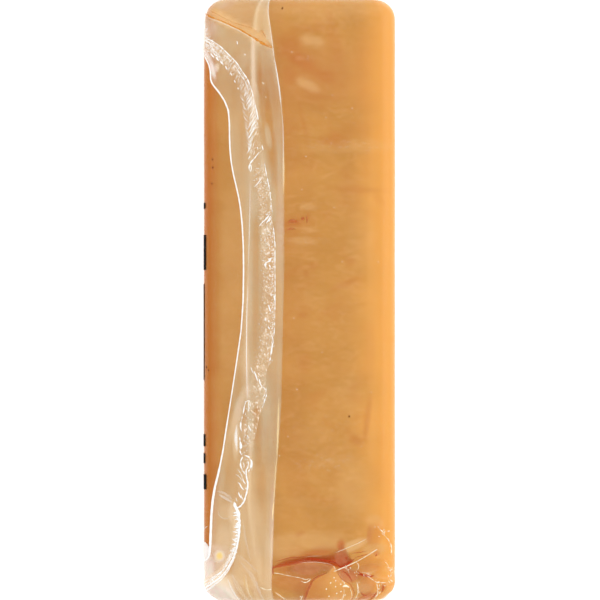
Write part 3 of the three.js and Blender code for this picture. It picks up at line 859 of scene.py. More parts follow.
CLEAR_CLOUDS = [
    (270, 130, 4, 44, -5, 0.15), (270, 270, 3.6, 50, 0, 0.09), (231, 410, 4, 20, 8, 0.05),
    (208, 562, 8, 20, 0, 0.06), (210, 590, 10, 12, 0, 0.08), (221, 450, 4, 30, 8, 0.03),
    (238, 385, 4, 16, 8, 0.07), (214, 500, 4, 40, 0, 0.03), (246, 416, 4, 18, 0, 0.09),
    (262, 488, 4, 22, 0, 0.08), (254, 138, 4, 16, 0, 0.08), (229, 566, 5, 9, 30, 0.2),
    (222, 594, 6, 5, 0, 0.1), (261, 96, 3.5, 42, -4, 0.09), (267, 90, 2, 30, -2, 0.03),
    (255.5, 275, 3.4, 60, 0, 0.06), (277, 108, 5, 44, -6, 0.05), (276, 170, 2, 40, -2, 0.08),
    (257, 412, 3.5, 5, 20, 0.16), (258, 440, 4, 40, 0, 0.07), (237, 60, 5, 10, 0, 0.05),
    (237, 250, 4, 50, 0, 0.06), (222, 130, 2, 30, 0, 0.05), (237, 592, 5, 14, -14, 0.08),
    (268, 512, 4, 20, 0, 0.06),
]

# Where the tail's film looks warm with painted light bounced up from the curd, pale with a painted sheen,
# and yellow with painted highlights, as marks of the same kind
WARM_BOUNCE_SPOTS = [
    (225, 525, 16, 46, 0, 0.6), (232, 455, 10, 44, 0, 0.7), (243, 290, 6, 110, 0, 0.5),
    (255, 575, 24, 34, 0, 0.8), (232, 12, 60, 16, 20, 0.9), (240, 60, 40, 50, 0, 0.3),
    (235, 120, 40, 60, 0, 0.35), (235, 590, 40, 40, 0, 0.5), (278, 290, 4, 34, 0, 0.6),
    (250, 515, 24, 60, 0, 0.8),
]
PALE_SHEEN_SPOTS = [
    (213.6, 70, 3.5, 11, -10, 1.0), (208.6, 57, 3, 9, -25, 0.9), (214, 594, 18, 12, 0, 0.9),
    (206, 568, 12, 18, 0, 0.8), (224, 6, 8, 5, -20, 0.6), (273, 530, 3, 50, 0, 0.8),
    (210, 30, 8, 8, 0, 0.25), (222, 560, 12, 14, 0, 0.5), (280, 225, 4, 40, 0, 0.5),
]
YELLOW_HIGHLIGHT_SPOTS = [
    (219.9, 555, 2.9, 3.6, 0, 1.0), (247, 586, 2, 10, -10, 0.5), (240, 592, 2, 8, -14, 0.4),
    (214, 12, 4, 3, 0, 0.4),
]

# How milky the doubled film is, by the row of pixels, and how sharply its soft fold shows
MILK_BY_ROW = [
    (26, 0.152), (44, 0.212), (52, 0.212), (76, 0.152), (90, 0.152), (150, 0.148), (460, 0.148),
    (510, 0.228), (530, 0.228), (580, 0.278),
]
SOFT_FOLD_BY_ROW = [(150, 1), (180, 0.4), (260, 0.4), (290, 1), (470, 1), (540, 0.35)]
# How milky it is beside the cut edge, along the soft fold and along the root fold, how much it varies, and
# how clear it is in the slit. Along the two folds the milk is partly painted highlight.
EDGE_MILK = 0.03
SOFT_FOLD_MILK = 0.16
ROOT_FOLD_MILK = 0.10
MILK_VARIES = 0.05
SLIT_CLEARNESS = 0.85


def between(value, rise, fall):
    """0 before the rise, 1 from its end to the start of the fall, and 0 after it, eased at both."""
    return smooth(value, *rise) * (1 - smooth(value, *fall))


def by_row(row, profile):
    """A value that changes along the rows of pixels, eased from each place of its profile to the next."""
    places, values = np.array(profile, float).T
    start = np.clip(np.searchsorted(places, row) - 1, 0, len(places) - 2)
    share = smooth(row, places[start], places[start + 1])
    return values[start] * (1 - share) + values[start + 1] * share


def slit_milk(pixel_x, pixel_y):
    """What the slit's lower rim adds to the milkiness, a pale line that is partly a painted highlight, and
    what its gap leaves of it.
    """
    lower = np.interp(pixel_x, *np.array(SLIT_LOWER).T)
    upper = np.interp(pixel_x, *np.array(SLIT_UPPER).T)
    gap = smooth(pixel_y, upper - 1.6, upper + 1.2) * smooth(lower - pixel_y, -0.5, 0.5)
    rim = bell(pixel_y - lower - 1.4, 0.9) * smooth(pixel_x, 204, 212)
    rim *= 1 - 0.8 * smooth(pixel_x, 216, 236)
    return 0.1 * rim, 1 - SLIT_CLEARNESS * gap * smooth(274 - pixel_x, 0, 2)


def tail_milk(across, along):
    """How milky the doubled film is, from its distances to the lines of the tail, all in pixels."""
    pixel_x, pixel_y = pixel_of(across, along)
    root = (root_line(along) - across) / PIXEL
    soft = (across - soft_line(along)) / PIXEL
    cut = (across - cut_line(along)) / PIXEL
    milk = by_row(pixel_y, MILK_BY_ROW)
    milk += EDGE_MILK * smooth(cut, 0, 5) * between(pixel_y, (90, 150), (430, 480))
    milk += 0.04 * bell(soft - 4, 6) * (1 - smooth(pixel_y, 40, 60)) + 0.05 * bell(soft - 3, 3)
    crease = (SOFT_FOLD_MILK + 0.06 * smooth(pixel_y, 430, 480)) * by_row(pixel_y, SOFT_FOLD_BY_ROW)
    milk += crease * bell(soft, 1.5)
    milk += ROOT_FOLD_MILK * bell(root - 1.2, 1.3) * (1 - smooth(pixel_y, 60, 120))
    milk += 0.6 * ROOT_FOLD_MILK * bell(root - 1.6, 1.4) * smooth(pixel_y, 400, 430)
    milk += soft_marks(MILKY_CLOUDS, pixel_x, pixel_y) - soft_marks(CLEAR_CLOUDS, pixel_x, pixel_y)
    for width, length, seed in ((6, 26, 21), (2.6, 70, 22)):
        milk += MILK_VARIES * (speckle(pixel_x / width, pixel_y / length, seed) - 0.5)
    rim, kept = slit_milk(pixel_x, pixel_y)
    return np.clip(milk + rim, 0.02, 0.9) * kept


def tail_shape(share_loop, share_along):
    """The tail as a flat loop: out over its top from the cut edge to the root fold, and back underneath."""
    along = (share_along * 2 - 1) * TAIL_END
    share = np.interp(1 - np.abs(2 * share_loop - 1), [0, 0.12, 0.85, 1], [0, 0.04, 0.93, 1])
    cut, root = cut_line(along), root_line(along)
    across = cut + (root - cut) * share
    from_root = root - across
    from_cut = across - cut
    rounded = np.sqrt(np.clip(1 - (from_root / ROOT_ROLL - 1) ** 2, 0, 1))
    roll = np.where(from_root < ROOT_ROLL, rounded, 1)
    stand = TAIL_STAND + (ROOT_STAND - TAIL_STAND) * bell(from_root - 0.6, FOLD_WIDTH)
    stand += SOFT_FOLD_STAND * bell(across - soft_line(along), FOLD_WIDTH)
    stand -= TAIL_SAG * smooth(from_cut, 0.3, 2.5) * smooth(weld_outer(along) - across, 0, 2)
    stand += TAIL_WAVES * (speckle(across / 2.5, along / 11, 31) - 0.5)
    turned = smooth(np.abs(along), STRAIGHT - 3, STRAIGHT + CORNER_ARC)
    stand = stand * (1 - turned) + TURNED_STAND * turned
    lip = smooth(from_cut, 0, LIP_WIDTH)
    top = CUT_STAND + (PLY_STAND + (stand - PLY_STAND) * roll - CUT_STAND) * lip
    low = PLY_STAND + (CUT_STAND - PLY_STAND) * (1 - lip)
    closing = smooth(np.abs(along), TAIL_END - 0.01, TAIL_END)
    lift = np.where(share_loop <= 0.5, top * (1 - closing) + low * closing, low)
    pixels = pixel_of(across, along)
    return on_skin(across, along, lift), {
        "haze": 1 - np.sqrt(1 - tail_milk(across, along)),
        "warm": soft_marks(WARM_BOUNCE_SPOTS, *pixels),
        "pale": soft_marks(PALE_SHEEN_SPOTS, *pixels),
        "yellow_highlight": soft_marks(YELLOW_HIGHLIGHT_SPOTS, *pixels),
    }


tail = moved_grid("tail_of_the_bag", TAIL_STEPS, tail_shape)
doubled = Finish("milky_film")
doubled_haze = doubled.attribute("haze")
bounce_warmth = doubled.attribute("warm")
# The warm tints of the milk are painted light, bounced up from the curd beneath it
thin_tint = doubled.mixed(bounce_warmth, tone(217, 233, 210), tone(252, 229, 182))
thick_tint = doubled.mixed(bounce_warmth, tone(249, 236, 216), tone(252, 229, 184))
tail_tint = doubled.mixed(doubled.span(doubled_haze, 0.1, 0.26), thin_tint, thick_tint)
# A painted sheen of pink and green, where the film is pale
rainbow = doubled.noise(1.1, detail=1, stretch=(1, 1.6, 1), turn=30)
sheen = doubled.mixed(doubled.span(rainbow, 0.42, 0.6), tone(247, 230, 222), tone(242, 238, 224))
tail_tint = doubled.mixed(doubled.attribute("pale"), tail_tint, sheen)
# Painted yellow highlights on the film
tail_tint = doubled.mixed(doubled.attribute("yellow_highlight"), tail_tint, tone(255, 224, 140))
dressed(tail, doubled.done(film_surface(doubled, tail_tint, doubled_haze, 0.25, 0.15)), "film")

# The weld: the band where the two plies are melted together. Cooling has puckered it into small blisters,
# pale where the plies part, between the bright beads and fringes of the next section.

WELD_END = 80.0
WELD_STEPS = (72, 900)
# How far it stands off the skin on the face and past it, how thick it is, and how high its blisters are
WELD_STAND = 0.75
WELD_TURNED_STAND = 0.6
WELD_THICKNESS = 0.1
PUCKER = 0.2
# How white its slanting bones, its grains and the veil over it all are, by the row of pixels
FISHBONE_BY_ROW = [(148, 1), (158, 0)]
GRAINS_BY_ROW = [(158, 0), (176, 0.8), (205, 0.8), (232, 1), (435, 1), (455, 0), (546, 0), (556, 0.8)]
VEIL_BY_ROW = [(38, 0.13), (64, 0.03), (505, 0.03), (515, 0.15), (556, 0.15), (580, 0.25)]


def weld_shape(share_loop, share_along):
    along = (share_along * 2 - 1) * WELD_END
    share = 1 - np.abs(2 * share_loop - 1)
    outer, inner = weld_outer(along), weld_inner(along)
    across = outer + (inner - outer) * share
    pixel_x, pixel_y = pixel_of(across, along)
    warp = 1.2 * speckle(across / 1.3, along / 1.3, 41)
    blisters = creases(across / 0.75 + warp, along / 0.6 + warp, 42)
    small = creases(across / 0.35, along / 0.32 + warp, 43)
    clouds = speckle(across / 1.1, along / 1.3, 44)
    fade = smooth(share, 0, 0.3) * (1 - smooth(share, 0.95, 1))
    stand = WELD_STAND + PUCKER * (0.6 * blisters**2 + 0.4 * small**2) * fade
    turned = smooth(np.abs(along), STRAIGHT, STRAIGHT + CORNER_ARC)
    stand = stand * (1 - turned) + WELD_TURNED_STAND * turned
    open_band = smooth(share, 0, 0.02) * (1 - smooth(share, 0.98, 1))
    thick = WELD_THICKNESS * open_band * (np.abs(along) < WELD_END - 0.001)
    lift = np.where(share_loop <= 0.5, stand, stand - thick)

    fishbone = by_row(pixel_y, FISHBONE_BY_ROW) * (0.25 + 0.75 * smooth(share, 0.25, 0.7))
    fishbone *= 1 - 0.5 * bell(pixel_y - 88, 10)
    grains = by_row(pixel_y, GRAINS_BY_ROW) * smooth(share, 0.05, 0.4)
    grains *= 0.5 + 0.5 * smooth(clouds, 0.3, 0.6)
    veil = by_row(pixel_y, VEIL_BY_ROW) + 0.03 * grains * smooth(clouds, 0.35, 0.65)
    return on_skin(across, along, lift), {
        "haze": fade * veil,
        "fishbone": fade * fishbone,
        "grains": fade * grains,
    }


weld = moved_grid("weld_band", WELD_STEPS, weld_shape)
melted = Finish("melted_film")
bones = melted.span(melted.noise(1, detail=2, stretch=(1.7, 0.52, 1), turn=56), 0.55, 0.63)
ribs = melted.span(melted.noise(1, detail=2, stretch=(1.5, 0.5, 1), turn=-42), 0.56, 0.64)
dashes = melted.span(melted.noise(1, detail=3, stretch=(0.5, 0.8, 1), roughness=0.6, turn=12), 0.56, 0.63)
puffs = melted.span(melted.noise(1, detail=2, stretch=(1.2, 1.6, 1)), 0.48, 0.62)
fishbone_white = melted.attribute("fishbone") * (bones * 0.26 + ribs * 0.1)
grain_white = melted.attribute("grains") * (puffs * 0.14 + dashes * 0.5)
melted_haze = melted.attribute("haze") + fishbone_white + grain_white
melted_tint = melted.mixed(fishbone_white + grain_white, tone(250, 222, 188), tone(255, 248, 238))
dressed(weld, melted.done(film_surface(melted, melted_tint, melted_haze, 0.3, 0.04)), "film")

# The bright lines: raised beads and creases of film that catch the light, white with milky film and painted
# highlight. They are the cut edge, the beads and fringes of the weld, and the glints of the root fold, each
# a thin ridge that lies on the film.

# The ring of points round a ridge, as shares of its half width and its height
RIDGE_SIDES = np.array([-1, -0.6, 0, 0.6, 1, 0.6, 0, -0.6])
RIDGE_TOPS = np.array([0, 0.8, 1, 0.8, 0, -0.4, -0.5, -0.4])
RING = len(RIDGE_SIDES)
# How finely a ridge is stepped, its least half width, the most height that its width gives it, and the
# length of its wobbles in pixels
STEPS_PER_PIXEL = 0.9
THINNEST = 0.01
TALLEST = 0.25
WOBBLE_LENGTH = 2.2


def ridge(details, number):
    """The points of one ridge, ring after ring, and the haze at each."""
    pixels = np.array(details["points"], float)
    chord = np.concatenate([[0], np.cumsum(np.hypot(*np.diff(pixels, axis=0).T))])
    where = np.linspace(0, chord[-1], max(int(chord[-1] * STEPS_PER_PIXEL), 5) + 1)
    line = np.stack([np.interp(where, chord, pixels[:, i]) for i in (0, 1)], 1)
    for _ in range(details.get("rounds", 2) if len(pixels) > 2 else 0):
        line[1:-1] = (line[:-2] + 2 * line[1:-1] + line[2:]) / 4
    across, along = walked_from(line[:, 0], line[:, 1])
    run = np.gradient(np.stack([across, along], 1), axis=0)
    run /= np.maximum(np.hypot(run[:, 0], run[:, 1]), 1e-6)[:, None]
    passed = where / chord[-1]
    full = np.clip(np.minimum(passed, 1 - passed) / max(details["taper"], 1e-3), 0, 1) ** 0.5
    wobble = 1 + details.get("wobble", 0) * (2 * speckle(where / WOBBLE_LENGTH, where * 0 + number, 55) - 1)
    width = np.interp(where, chord, np.broadcast_to(details["width"], len(pixels)))
    width = np.maximum(width * full * wobble, THINNEST)
    height = np.maximum(details["height"] * full, THINNEST)
    ring_across = across[:, None] - run[:, 1:] * RIDGE_SIDES * width[:, None]
    ring_along = along[:, None] + run[:, :1] * RIDGE_SIDES * width[:, None]
    rings = on_skin(ring_across, ring_along, details["base"] + RIDGE_TOPS * height[:, None])
    haze = details["haze"] * (0.55 + 0.45 * full) * np.clip(wobble, 0.5, 1)
    return rings.reshape(-1, 3) * MM, np.repeat(haze, RING)


def ridges(name, strokes, material):
    """Thin tapered ridges that lie on the skin, as one piece."""
    vertices, faces, hazes = [], [], []
    start = 0
    for number, details in enumerate(strokes):
        points, haze = ridge(details, number)
        vertices.append(points)
        hazes.append(haze)
        steps = len(points) // RING - 1
        first = start + RING * np.arange(steps)[:, None]
        one, other = np.arange(RING), (np.arange(RING) + 1) % RING
        quads = np.stack([first + one, first + other, first + other + RING, first + one + RING], -1)
        faces.extend(quads.reshape(-1, 4).tolist())
        faces.append([start + j for j in range(RING)])
        faces.append([start + steps * RING + j for j in reversed(range(RING))])
        start += len(points)
    mesh = bpy.data.meshes.new(name)
    mesh.from_pydata(np.concatenate(vertices).tolist(), [], faces)
    mesh.attributes.new("haze", "FLOAT", "POINT").data.foreach_set("value", np.concatenate(hazes))
    piece = bpy.data.objects.new(name, mesh)
    scene.collection.objects.link(piece)
    bpy.ops.object.select_all(action="DESELECT")
    bpy.context.view_layer.objects.active = piece
    piece.select_set(True)
    bpy.ops.object.mode_set(mode="EDIT")
    bpy.ops.mesh.select_all(action="SELECT")
    bpy.ops.mesh.normals_make_consistent(inside=False)
    bpy.ops.object.mode_set(mode="OBJECT")
    bpy.ops.object.shade_smooth()
    dressed(piece, material, "film")


def stroke(points, width, haze=0.9, base=0.8, height=None, taper=0.3, **more):
    """A ridge through pixels of the view. Its half width, base and height are in millimetres. It tapers
    over a share of its length at each end, and more says how its line is rounded and its width wobbles."""
    if height is None:
        height = min(float(np.max(width)), TALLEST)
    return dict(points=points, width=width, height=height, base=base, haze=haze, taper=taper, **more)


def fringe(line, steps, reach, lean, width, haze, seed, back=0.0, pointed=False):
    """Short strokes that leave a line to one side: reach and lean are a stroke's own x and y."""
    draw = np.random.default_rng(seed)
    line_x, line_y = np.array(line, float).T
    strokes = []
    for y in np.arange(*steps):
        x = float(np.interp(y, line_y, line_x)) + back * draw.random()
        far_x, far_y = draw.uniform(*reach), draw.uniform(*lean)
        bow = draw.uniform(-0.8, 0.8)
        points = [(x, y), (x + far_x / 2 + bow, y + far_y / 2), (x + far_x, y + far_y)]
        half_width, white = draw.uniform(*width), draw.uniform(*haze)
        if pointed:
            strokes.append(stroke(points, [half_width, half_width * 0.6, 0.03], white, 0.95, taper=0.01))
        else:
            strokes.append(stroke(points, half_width, white, base=0.95, taper=0.5))
    return strokes


def glossy(name, tint, roughness=0.2, shine=0.2):
    """A film finish for ridges, milky by their own haze."""
    finish = Finish(name)
    return finish.done(film_surface(finish, tint, finish.attribute("haze"), roughness, shine))


# Milky white film with painted highlight, for the bright lines
white_film_and_glints = glossy("white_film_and_glints", tone(252, 251, 247))

# The half width of the cut edge, by the row of pixels
CUT_ROWS = [50, 70, 90, 120, 200, 280, 400, 470, 540, 562]
CUT_WIDTHS = [0.1, 0.14, 0.2, 0.2, 0.18, 0.2, 0.15, 0.23, 0.36, 0.26]
cut_widths = np.interp([y for _, y in CUT_PIXELS], CUT_ROWS, CUT_WIDTHS)
CUT_EDGE = stroke(CUT_PIXELS, cut_widths, 0.92, 0.5, 0.3, 0.01, rounds=5, wobble=0.12)
ridges("cut_edge", [CUT_EDGE], white_film_and_glints)

# The beads of the weld, single wisps of parted film in it, and its fringes
WELD_BEADS = [
    stroke(WELD_INNER_PIXELS[1:12], 0.12, 0.85, 0.95, taper=0.03, rounds=6, wobble=0.6),
    stroke([(x - 2.6, y + 1.8) for x, y in WELD_INNER_PIXELS[1:9]], 0.07, 0.6, 0.9, taper=0.05, rounds=6,
        wobble=0.9),
    stroke([(264, 161), (266.5, 174), (269.5, 189), (271.5, 205), (272.5, 214)], 0.08, 0.7, 0.95, taper=0.2,
        wobble=0.8),
    stroke([(273.2, 225), (274.3, 235), (275.2, 247), (275, 262), (275.2, 280), (275.2, 300), (274.5, 330),
        (273, 345)], 0.09, 0.6, 0.95, taper=0.05, wobble=0.9),
    stroke([(272.3, 333), (272.5, 345), (270.5, 358), (268.3, 367)], 0.12, 0.75, 1.0, taper=0.15,
        wobble=1.0),
    stroke([(251, 366), (252, 370), (254, 373.5)], 0.1, 0.6, 1.0),
    stroke([(254.2, 370.5), (256, 375), (258, 381)], 0.17, 0.95, 1.0),
    stroke([(259, 377.5), (259.8, 382), (262, 386.5)], 0.14, 0.9, 1.0),
    stroke([(262, 386), (265, 388), (266.6, 391)], 0.1, 0.7, 1.0),
    stroke([(266.8, 391), (266.4, 396), (264.6, 400), (264, 404), (262, 407.5)], 0.12, 0.8, 1.0, taper=0.1,
        wobble=1.0),
    stroke([(266.8, 387), (265.5, 393), (263, 398)], 0.1, 0.7, 1.0, wobble=0.8),
    stroke([(246.5, 468), (246.5, 475), (248.2, 483), (247.3, 490.5), (244.3, 500.8), (240.3, 505.8),
        (236.3, 507.3), (234, 504.5), (234.5, 501)], 0.2, 0.9, 1.0, taper=0.06, wobble=0.3),
    stroke([(243.5, 455.5), (241.2, 459), (240.6, 464), (242.8, 470), (246, 474)], 0.15, 0.85, 1.0,
        taper=0.1, wobble=0.6),
    stroke([(244.5, 454.5), (249, 456), (252, 461), (251, 467), (248, 471.5)], 0.15, 0.85, 1.0, taper=0.1,
        wobble=0.8),
    stroke([(244.6, 458), (247.6, 459), (249, 463), (247.6, 468), (245.6, 469)], 0.1, 0.8, 1.0, taper=0.1,
        wobble=0.9),
    stroke([(243.4, 461), (244.6, 465), (244, 467.6)], 0.09, 0.7, 1.0),
    stroke([(251.6, 458), (253, 463), (251.6, 470)], 0.1, 0.4, 0.9),
    stroke([(234.5, 501), (236.5, 507), (239, 512.5), (239.9, 522.5), (239, 535), (236.8, 546.5),
        (233, 558), (227.5, 568), (220, 577), (212, 583.4), (203, 588)], [0.36, 0.36, 0.34, 0.32, 0.28,
        0.24, 0.2, 0.18, 0.16, 0.16, 0.16], 0.9, 1.0, 0.2, 0.03, wobble=0.35),
    stroke([(239.4, 513), (240.2, 523), (239.4, 536), (237, 548), (233.6, 559), (228.4, 569.6),
        (221.4, 578.4), (212, 586), (203, 590.4)], 0.2, 0.4, 0.95, 0.12, 0.05),
    stroke([(234, 549), (231.4, 557), (226, 566), (218.4, 573.6), (210, 579), (203, 582.6)], 0.1, 0.7, 1.0,
        taper=0.2, wobble=0.9),
]
WELD_WISPS = [
    stroke([(259.5, 152.5), (255, 158.5), (250.5, 163.5), (249, 168), (250, 172)], 0.16, 0.9, 0.95,
        taper=0.3, wobble=0.5),
    stroke([(250, 164), (251.8, 168), (250.5, 173)], 0.13, 0.9),
    stroke([(262, 145.5), (263.3, 151)], 0.13, 0.85), stroke([(257.3, 147.5), (258, 149.5)], 0.13, 0.75),
    stroke([(262, 178), (258, 184), (254, 188)], 0.11, 0.7),
    stroke([(262, 182), (259, 184.5)], 0.09, 0.5), stroke([(248.6, 160), (250.5, 156)], 0.12, 0.7),
    stroke([(259.3, 227), (262, 223), (265, 220.5), (268, 217.5), (270, 213)], 0.15, 0.9, 1.0, wobble=0.6),
    stroke([(266, 224), (269, 220), (270.7, 216)], 0.15, 0.9, 1.0),
    stroke([(268.5, 222.5), (271.5, 218)], 0.13, 0.8, 1.0),
    stroke([(271.6, 257.3), (269.7, 261.5), (266.5, 262.5), (264.8, 264.5), (266.5, 268)], 0.2, 0.95, 1.0,
        wobble=0.6),
    stroke([(268, 260), (270.7, 258.5)], 0.16, 0.9, 1.0),
    stroke([(269, 264.5), (270.8, 268)], 0.16, 0.9, 1.0),
    stroke([(268.5, 304.5), (269.5, 308), (271, 312)], 0.17, 0.95, 1.0),
    stroke([(265, 318), (266.3, 321.5)], 0.15, 0.85, 1.0),
    stroke([(274.3, 295), (274.8, 301)], 0.17, 0.9, 1.0),
    stroke([(268, 326), (270, 329.5)], 0.15, 0.85, 1.0),
    stroke([(246.5, 400), (244.5, 406), (243.5, 413), (241, 422), (240.8, 427), (242, 431)], 0.15, 0.8, 1.0,
        wobble=1.0),
    stroke([(239.8, 436), (240.5, 441), (241.5, 446), (240, 450), (241.5, 454)], 0.18, 0.9, 1.0,
        wobble=0.9),
    stroke([(249.5, 399), (248.8, 405), (249, 412)], 0.11, 0.6, 1.0),
    stroke([(248.5, 424), (250, 428), (251.5, 431)], 0.14, 0.8, 1.0),
    stroke([(247, 434), (249, 438)], 0.12, 0.6, 1.0), stroke([(244, 402), (250, 399.5)], 0.1, 0.5, 1.0),
    stroke([(237, 424), (236.2, 437), (237.2, 451)], 0.5, 0.22, 0.9, 0.06, 0.5),
    stroke([(236.6, 428), (236.2, 437), (236.9, 447)], 0.22, 0.4, 0.95, 0.06, 0.5),
    stroke([(217.5, 490), (225, 492.5), (232.8, 498.5)], 0.34, 0.1, 0.8, 0.05),
    stroke([(219, 493.5), (227, 498), (233, 501.7)], 0.34, 0.14, 0.8, 0.05),
    stroke([(244.5, 489.5), (241.5, 486.5), (240, 482.5), (238, 481.5)], 0.16, 0.9, 1.0),
    stroke([(246.3, 483.5), (243.5, 480.5), (242.8, 477)], 0.13, 0.8, 1.0),
    stroke([(242, 497.5), (239.8, 495), (238.6, 491)], 0.16, 0.9, 1.0),
    stroke([(243.8, 499.5), (241.8, 496.5), (241, 493)], 0.12, 0.6, 1.0),
    stroke([(237.5, 501), (236, 496.5)], 0.1, 0.5, 1.0),
    stroke([(247.3, 489), (244.8, 486.5)], 0.12, 0.6, 1.0),
    stroke([(216.7, 57.8), (219.4, 62.2)], 0.17, 0.9), stroke([(220.6, 62), (223.3, 65.6)], 0.17, 0.9),
    stroke([(225.6, 66.7), (227.4, 70.8)], 0.16, 0.9), stroke([(230.6, 73.3), (232.2, 76.7)], 0.14, 0.8),
    stroke([(234.4, 81), (235.8, 84)], 0.13, 0.75), stroke([(237.8, 88.3), (238.9, 90.5)], 0.12, 0.7),
    stroke([(212, 54), (215.5, 59)], 0.17, 0.8), stroke([(237.3, 42), (237.7, 46)], 0.12, 0.8),
    stroke([(244.5, 55), (246, 56.5)], 0.11, 0.7),
]
WELD_FRINGES = [
    *fringe(WELD_INNER_PIXELS, (37, 92, 1.1), (-4, -1.2), (1.2, 4), (0.04, 0.07), (0.45, 0.85), 1),
    *fringe([(206, 44), (222, 58), (238, 80), (248, 104)], (44, 104, 1.0), (-3, -0.6), (2, 5), (0.03, 0.06),
        (0.3, 0.7), 21, 4),
    *fringe([(214, 46), (230, 61), (243, 82), (252, 104)], (46, 104, 1.2), (-3.5, -1), (2, 5), (0.03, 0.06),
        (0.35, 0.75), 22, 3),
    *fringe([(205, 40), (214, 52), (222, 62)], (38, 62, 0.8), (-0.5, 2.5), (3, 6), (0.03, 0.06), (0.5, 0.9),
        23, 4),
    *fringe([(250, 96), (253, 112), (254, 130)], (94, 130, 2.4), (-6, -3), (6, 10), (0.03, 0.06),
        (0.5, 0.95), 24, 3),
    *fringe([(250, 128), (250, 152)], (126, 152, 1.3), (-4, -1), (4, 8), (0.04, 0.07), (0.5, 0.9), 25, 5),
    *fringe(WELD_INNER_PIXELS, (86, 104, 1.6), (-8, -5), (5, 9), (0.04, 0.07), (0.3, 0.7), 14, -1.5),
    *fringe(WELD_INNER_PIXELS, (96, 129, 1.9), (-7.5, -4), (7.5, 12), (0.04, 0.08), (0.5, 0.95), 2, -1.5),
    *fringe([(256, 100), (258, 126)], (100, 126, 2.7), (-2.5, 1.5), (3, 6), (0.05, 0.09), (0.6, 0.95), 15,
        -3),
    *fringe(WELD_OUTER_PIXELS, (94, 150, 2.0), (3, 5.5), (3, 6), (0.04, 0.07), (0.4, 0.85), 3, -1.5),
    *fringe([(254.5, 120), (255, 128), (252, 152)], (120, 148, 1.6), (-5.5, -3), (5, 8.5), (0.05, 0.09),
        (0.6, 0.95), 4, -2),
    *fringe([(204, 27), (207, 50)], (27, 56, 0.9), (1.5, 4.5), (-4, 3), (0.04, 0.08), (0.4, 0.85), 5, 3),
    *fringe([(208, 36), (216, 58)], (38, 60, 1.0), (1.5, 3.5), (-3, 5), (0.04, 0.08), (0.5, 0.9), 6, 3),
    *fringe([(273.4, 230), (273.6, 340)], (232, 345, 2.3), (-3, -1), (-1, 2.5), (0.05, 0.09), (0.4, 0.85),
        7, 1),
    *fringe([(252, 165), (256, 190), (260, 220), (261, 262)], (165, 262, 0.6), (-1.8, 1.8), (-1.8, 1.8),
        (0.05, 0.11), (0.2, 0.6), 27, 11),
    *fringe([(266, 165), (272, 200), (273, 240)], (180, 240, 1.6), (-1.4, 1.4), (-1.6, 1.6), (0.05, 0.08),
        (0.5, 0.9), 28, -3),
    *fringe([(262, 262), (262, 330), (250, 366)], (262, 366, 0.8), (-1.6, 1.6), (-1.4, 1.4), (0.03, 0.07),
        (0.2, 0.6), 29, 11),
    *fringe([(268, 230), (268, 362)], (232, 364, 2.6), (-1.5, 1.5), (0.5, 2.5), (0.05, 0.1), (0.4, 0.85), 8,
        4),
    *fringe([(262, 270), (256, 366)], (214, 400, 3.3), (-1.5, 1.5), (0.5, 2), (0.05, 0.09), (0.3, 0.7), 9,
        5),
    *fringe([(246, 400), (242, 455)], (403, 455, 1.7), (-1.5, 1.5), (0.5, 2.5), (0.05, 0.1), (0.4, 0.85),
        10, 6),
    *fringe([(246, 455), (246, 473)], (457, 472, 1.2), (-2, 2), (-1.5, 1.5), (0.05, 0.09), (0.4, 0.85), 11,
        3),
    *fringe([(238.6, 508), (239.4, 524), (238, 536), (235.6, 547)], (508.5, 550, 1.8), (-6.6, -3),
        (-2, 2.4), (0.24, 0.4), (0.7, 0.95), 12, 0, True),
    *fringe([(238, 547), (232, 562), (222, 575), (206, 586)], (549, 586, 0.8), (-2.5, 1.5), (-1.5, 2),
        (0.08, 0.16), (0.4, 0.95), 26, 0),
    *fringe([(235, 547), (227, 566), (213, 580), (206, 584)], (547, 583, 1.1), (-6, -3), (2, 5),
        (0.06, 0.1), (0.3, 0.7), 16, -0.5),
]
ridges("weld_puckers", WELD_BEADS + WELD_WISPS + WELD_FRINGES, white_film_and_glints)

# The glints of the root fold and the soft fold, white at the far end and warm further on
ROOT_GLINTS = [
    stroke([(265.9, 0), (269.3, 22), (272.2, 42), (274.2, 58)], 0.12, 0.16, 1.05, taper=0.05),
    stroke([(274.4, 59), (277, 74), (279.4, 90), (281.3, 108)], 0.16, 0.42, 1.1, taper=0.35),
    stroke([(281.3, 106), (283, 125), (283.4, 145), (283.4, 190)], 0.16, 0.15, 1.05, taper=0.35),
    stroke([(250.4, 180), (250, 215), (249.4, 240), (248.4, 270)], 0.12, 0.2, 1.0, taper=0.4),
    stroke([(248, 285), (247, 315), (246.7, 350), (247.2, 385), (248, 399)], 0.1, 0.45, 1.0, taper=0.3),
]
ridges("root_glints", ROOT_GLINTS, white_film_and_glints)
WARM_GLINTS = [
    stroke([(278.9, 402), (278.3, 418), (277.8, 438), (277, 456)], 0.1, 0.7, 1.1, 0.06, 0.4),
    stroke([(279, 396), (278.4, 416), (277.8, 440), (276.8, 462)], 0.3, 0.16, 1.05, 0.06, 0.4),
    stroke([(276.8, 458), (275.6, 472), (274.4, 490), (273.4, 507)], 0.16, 0.25, 1.05, 0.05, 0.2),
    stroke([(273.8, 500), (273, 510), (272.4, 520)], 0.2, 0.6, 1.1, 0.06, 0.4),
    stroke([(272.4, 522), (271.8, 545), (271, 565)], 0.16, 0.16, 1.05, 0.05, 0.2),
    stroke([(283.6, 150), (283.7, 170), (283.7, 195)], 0.3, 0.22, 1.05, 0.06, 0.4),
]
ridges("warm_glints", WARM_GLINTS, glossy("warm_glint", tone(255, 220, 158)))

